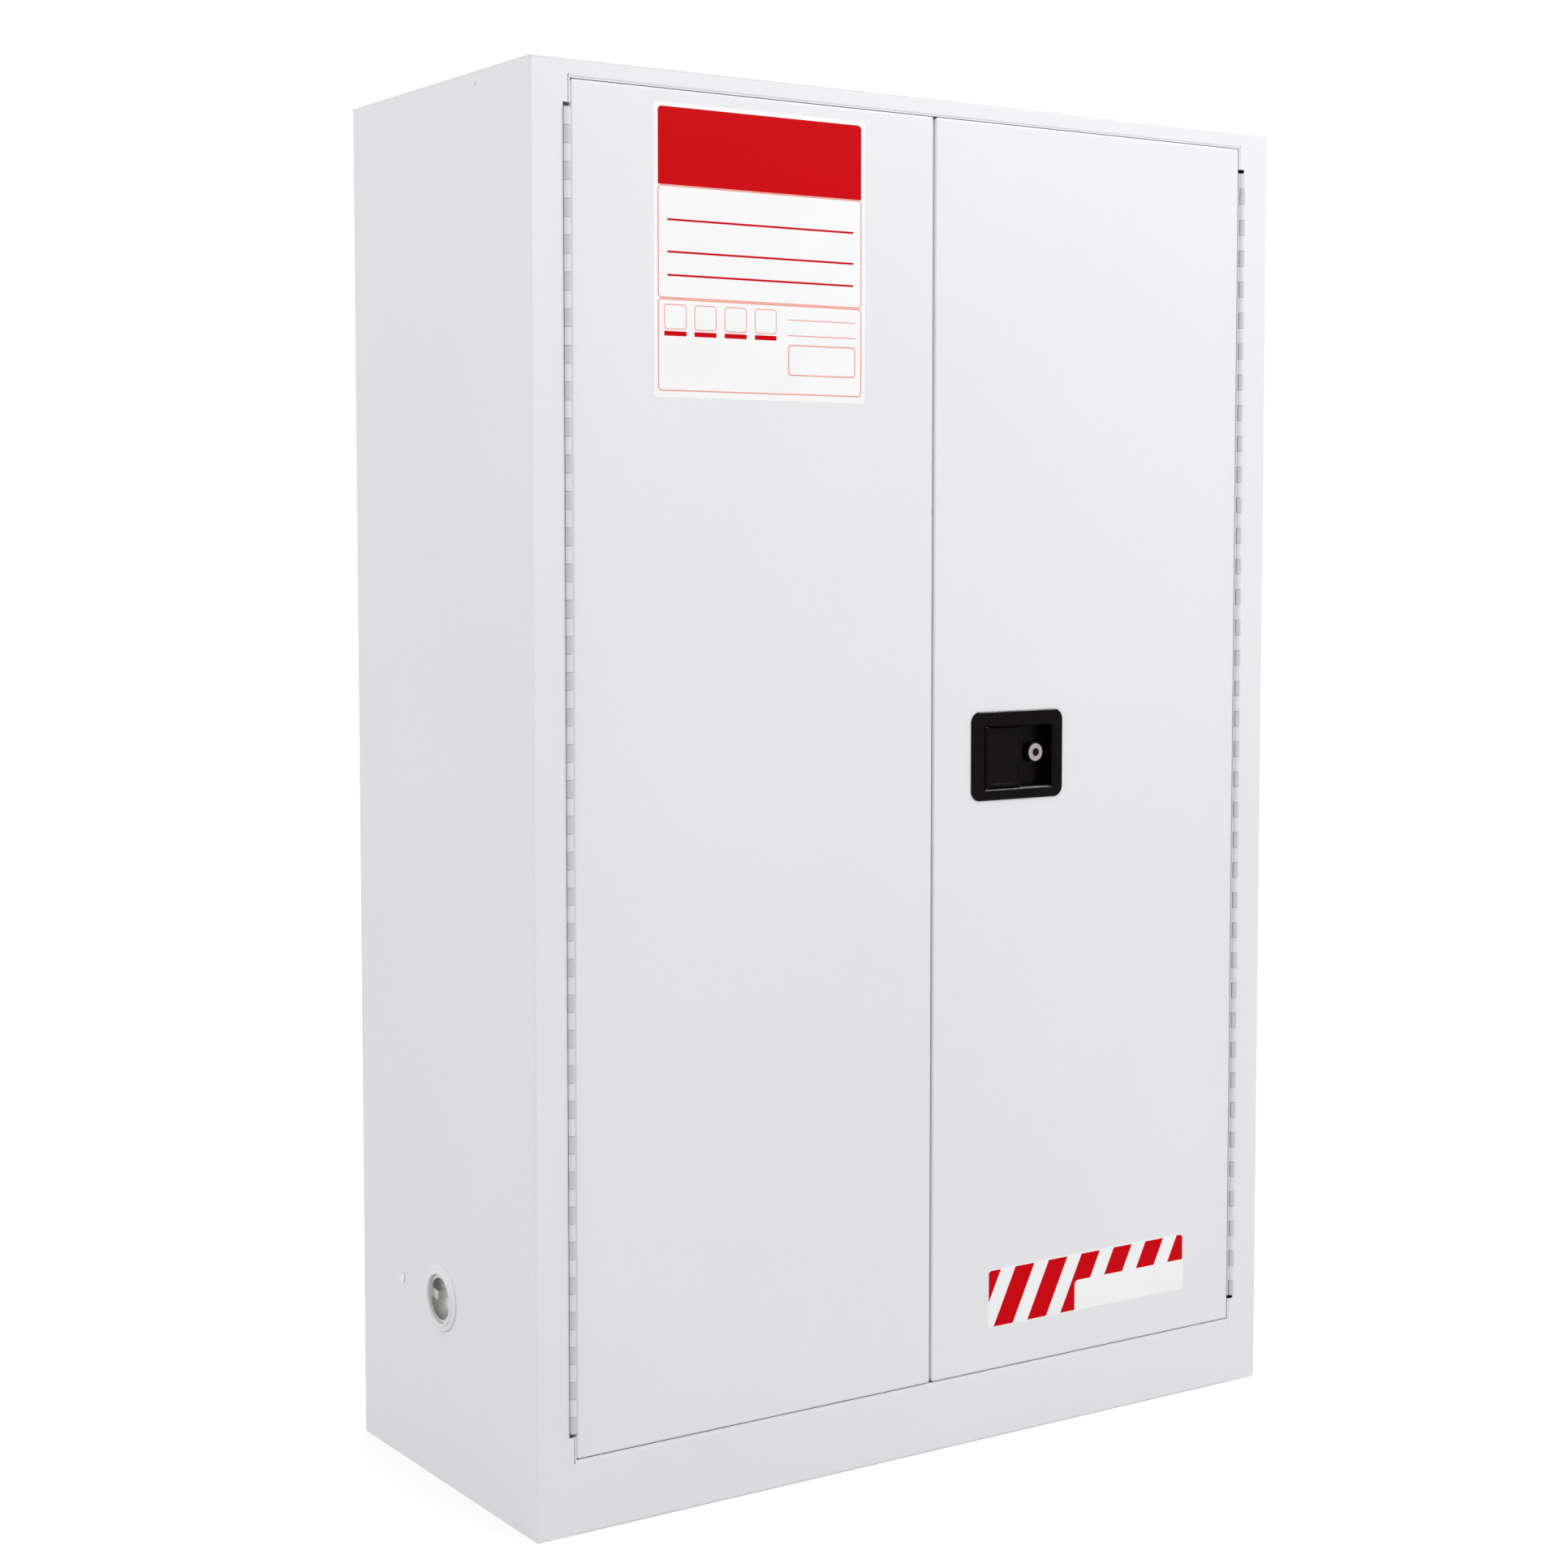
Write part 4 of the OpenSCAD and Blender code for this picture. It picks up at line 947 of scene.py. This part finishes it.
@dataclass
class GapFolds:
    """Narrow painted folds of the frame that close the joints round the doors; in millimetres."""

    jamb_x: float = 496.5
    head_z: float = 1631.0
    sill_z: float = 85.0
    stop_z: Span = (113.0, 1603.0)
    hinge_z: Span = (118.0, 1598.0)
    notch_x: float = 504.0
    rooted: float = 0.2
    reach: float = 1.25
    side_reach: float = 1.6
    notch_reach: float = 0.35
    set_back: float = 0.25
    depth: float = 1.0
    end_gap: float = 0.1
    edge: float = 0.08

    def build(self, face_y: float) -> None:
        """Builds the folds.

        Args:
            face_y: Plane of the frame's face.
        """
        y0 = face_y / MM + self.set_back
        y1 = y0 + self.depth
        root, reach, gap = self.rooted, self.reach, self.end_gap
        self.fold((-self.jamb_x, y0, self.head_z - reach), (self.jamb_x, y1, self.head_z + root),
                  "head_fold")
        self.fold((-self.jamb_x, y0, self.sill_z - root), (self.jamb_x, y1, self.sill_z + reach),
                  "sill_fold")
        ends = {"low": (self.sill_z + reach + gap, self.stop_z[0]),
                "high": (self.stop_z[1], self.head_z - reach - gap)}
        for side, side_name in ((-1, "left"), (1, "right")):
            x0, x1 = sorted((side * (self.jamb_x + root), side * (self.jamb_x - self.side_reach)))
            for end, (z0, z1) in ends.items():
                self.fold((x0, y0, z0), (x1, y1, z1), f"jamb_fold_{side_name}_{end}")
            x0, x1 = sorted((side * (self.notch_x + root), side * (self.notch_x - self.notch_reach)))
            z0, z1 = self.hinge_z
            self.fold((x0, y0, z0), (x1, y1, z1), f"hinge_fold_{side_name}")

    def fold(self, low: Sequence[float], high: Sequence[float], name: str) -> None:
        """Adds one fold between two corners in millimetres."""
        add_block(Vector(low) * MM, Vector(high) * MM, self.edge * MM, name)


@dataclass
class GroundWelds:
    """Welds at the corners of the door frame, ground flush and painted over; in millimetres."""

    jamb_x: float = 496.5
    overlap: float = 1.0
    fold: float = 3.4
    depth: float = 2.4
    proud: float = 0.05
    edge: float = 0.04
    spans: dict[str, Span] = field(
        default_factory=lambda: {"sill": (0.4, 82.2), "head": (1633.8, 1649.6)})

    def build(self, face_y: float) -> None:
        """Builds the four welds.

        Args:
            face_y: Plane of the frame's face.
        """
        for side, side_name in ((-1, "left"), (1, "right")):
            for place, (bottom, top) in self.spans.items():
                inner, outer = side * (self.jamb_x - self.overlap), side * (self.jamb_x + self.fold)
                low = Vector((min(inner, outer) * MM, face_y - self.proud * MM, bottom * MM))
                size = Vector(((self.overlap + self.fold) * MM, (self.depth + self.proud) * MM,
                               (top - bottom) * MM))
                add_block(low, low + size, self.edge * MM, f"{place}_weld_{side_name}")


# ---------- studio ----------


@dataclass(frozen=True)
class SoftBox:
    """A square studio lamp: where it hangs, what it points at, its side and its power in watts."""

    name: str
    place: tuple[float, float, float]
    target: tuple[float, float, float]
    side: float
    power: float
    lights_matt: bool = True

    def hang(self) -> None:
        """Hangs the lamp in the scene."""
        lamp = bpy.data.lights.new(self.name, "AREA")
        lamp.size = self.side
        lamp.energy = self.power
        holder = bpy.data.objects.new(self.name, lamp)
        holder.location = self.place
        aim = Vector(self.target) - Vector(self.place)
        holder.rotation_euler = aim.to_track_quat("-Z", "Y").to_euler()
        holder.visible_diffuse = self.lights_matt
        bpy.context.scene.collection.objects.link(holder)


@dataclass
class Studio:
    """White studio with the photograph's camera, a pale floor and soft lamps."""

    eye: tuple[float, float, float] = (-1.9369, -2.8320, 1.1330)
    yaw: float = 33.51
    pitch: float = -3.54
    lens: float = 61.45
    sensor: float = 36.0
    shift_y: float = -0.055
    world_fill: float = 0.945
    floor_seen: float = 0.97
    floor_grey: float = 0.55
    floor_glow: float = 0.15
    floor_roughness: float = 0.9
    floor_size: float = 14.0
    floor_tiles: int = 8
    lamps: tuple[SoftBox, ...] = (
        SoftBox("key", (1.5, -2.4, 2.9), (0.0, 0.0, 1.0), 0.8, 28),
        SoftBox("side", (-3.4, -0.4, 2.4), (0.0, 0.0, 1.0), 2.0, 11),
        SoftBox("edge light", (1.5, -0.32, 2.9), (0.14, -0.23, 0.86), 0.6, 70, False))

    def build(self) -> None:
        """Builds the camera, the world, the floor and the lamps."""
        bpy.context.scene.view_settings.view_transform = "Standard"
        self.add_camera()
        self.light_world()
        self.lay_floor()
        for lamp in self.lamps:
            lamp.hang()

    def add_camera(self) -> None:
        """Adds the camera at the photograph's viewing angle."""
        camera = bpy.data.cameras.new("camera")
        camera.lens = self.lens
        camera.sensor_width = self.sensor
        camera.shift_y = self.shift_y
        holder = bpy.data.objects.new("camera", camera)
        holder.location = self.eye
        holder.rotation_euler = (math.radians(90 + self.pitch), 0, math.radians(-self.yaw))
        bpy.context.scene.collection.objects.link(holder)
        bpy.context.scene.camera = holder

    def seen_share(self, tree: bpy.types.NodeTree) -> bpy.types.NodeSocket:
        """Tells what is seen from what only lights.

        Args:
            tree: Node tree of the world or of a material.

        Returns:
            1 for what the camera, a reflection or glass shows, else 0.
        """
        path = tree.nodes.new("ShaderNodeLightPath")
        total = path.outputs["Is Camera Ray"]
        for name in ("Is Glossy Ray", "Is Transmission Ray"):
            most = tree.nodes.new("ShaderNodeMath")
            most.operation = "MAXIMUM"
            tree.links.new(total, most.inputs[0])
            tree.links.new(path.outputs[name], most.inputs[1])
            total = most.outputs[0]
        return total

    def split_value(self, tree: bpy.types.NodeTree, hidden: float,
                    seen: float) -> bpy.types.NodeSocket:
        """Gives one value for what is seen and another for what only lights.

        Args:
            tree: Node tree of the world or of a material.
            hidden: Value for what only lights.
            seen: Value for what is seen.

        Returns:
            The value.
        """
        spread = tree.nodes.new("ShaderNodeMapRange")
        spread.inputs["To Min"].default_value = hidden
        spread.inputs["To Max"].default_value = seen
        tree.links.new(self.seen_share(tree), spread.inputs["Value"])
        return spread.outputs["Result"]

    def light_world(self) -> None:
        """Makes the world white where it is seen and softer where it lights."""
        world = bpy.data.worlds.new("studio")
        world.use_nodes = True
        background = world.node_tree.nodes["Background"]
        background.inputs["Color"].default_value = (1, 1, 1, 1)
        world.node_tree.links.new(self.split_value(world.node_tree, self.world_fill, 1.0),
                                  background.inputs["Strength"])
        bpy.context.scene.world = world

    def lay_floor(self) -> None:
        """Lays a pale floor that keeps the cabinet's shadow."""
        graph = Graph("studio floor")
        graph.link(self.split_value(graph.tree, self.floor_grey, self.floor_seen),
                   graph.shader.inputs["Base Color"])
        graph.link(self.split_value(graph.tree, 0.0, self.floor_glow),
                   graph.shader.inputs["Emission Strength"])
        graph.set(Roughness=self.floor_roughness, Specular_IOR_Level=0.0,
                  Emission_Color=(1, 1, 1, 1))
        shape = bmesh.new()
        bmesh.ops.create_grid(shape, x_segments=self.floor_tiles, y_segments=self.floor_tiles,
                              size=self.floor_size)
        mesh = bpy.data.meshes.new("floor")
        shape.to_mesh(mesh)
        shape.free()
        mesh.materials.append(graph.material)
        floor = bpy.data.objects.new("floor", mesh)
        bpy.context.scene.collection.objects.link(floor)


def main() -> None:
    """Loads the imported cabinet, dresses it and lights it."""
    logging.basicConfig(level=logging.INFO, format="%(name)s %(message)s")
    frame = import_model()
    slots = {row["node"]: Slot(row["material_slot"]) for row in frame["record"]["subparts"]}
    Studio().build()
    packed = PackedNodes(frame["nodes"], slots)
    packed.paint()
    packed.round_off()
    face_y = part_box("left_door_skin")[0].y
    DoorLabel().build(face_y)
    StripedPanel().build(face_y)
    PaddleLatch(packed).build()
    VentSet(packed).build()
    GapFolds().build(face_y)
    GroundWelds().build(face_y)


if __name__ == "__main__":
    main()
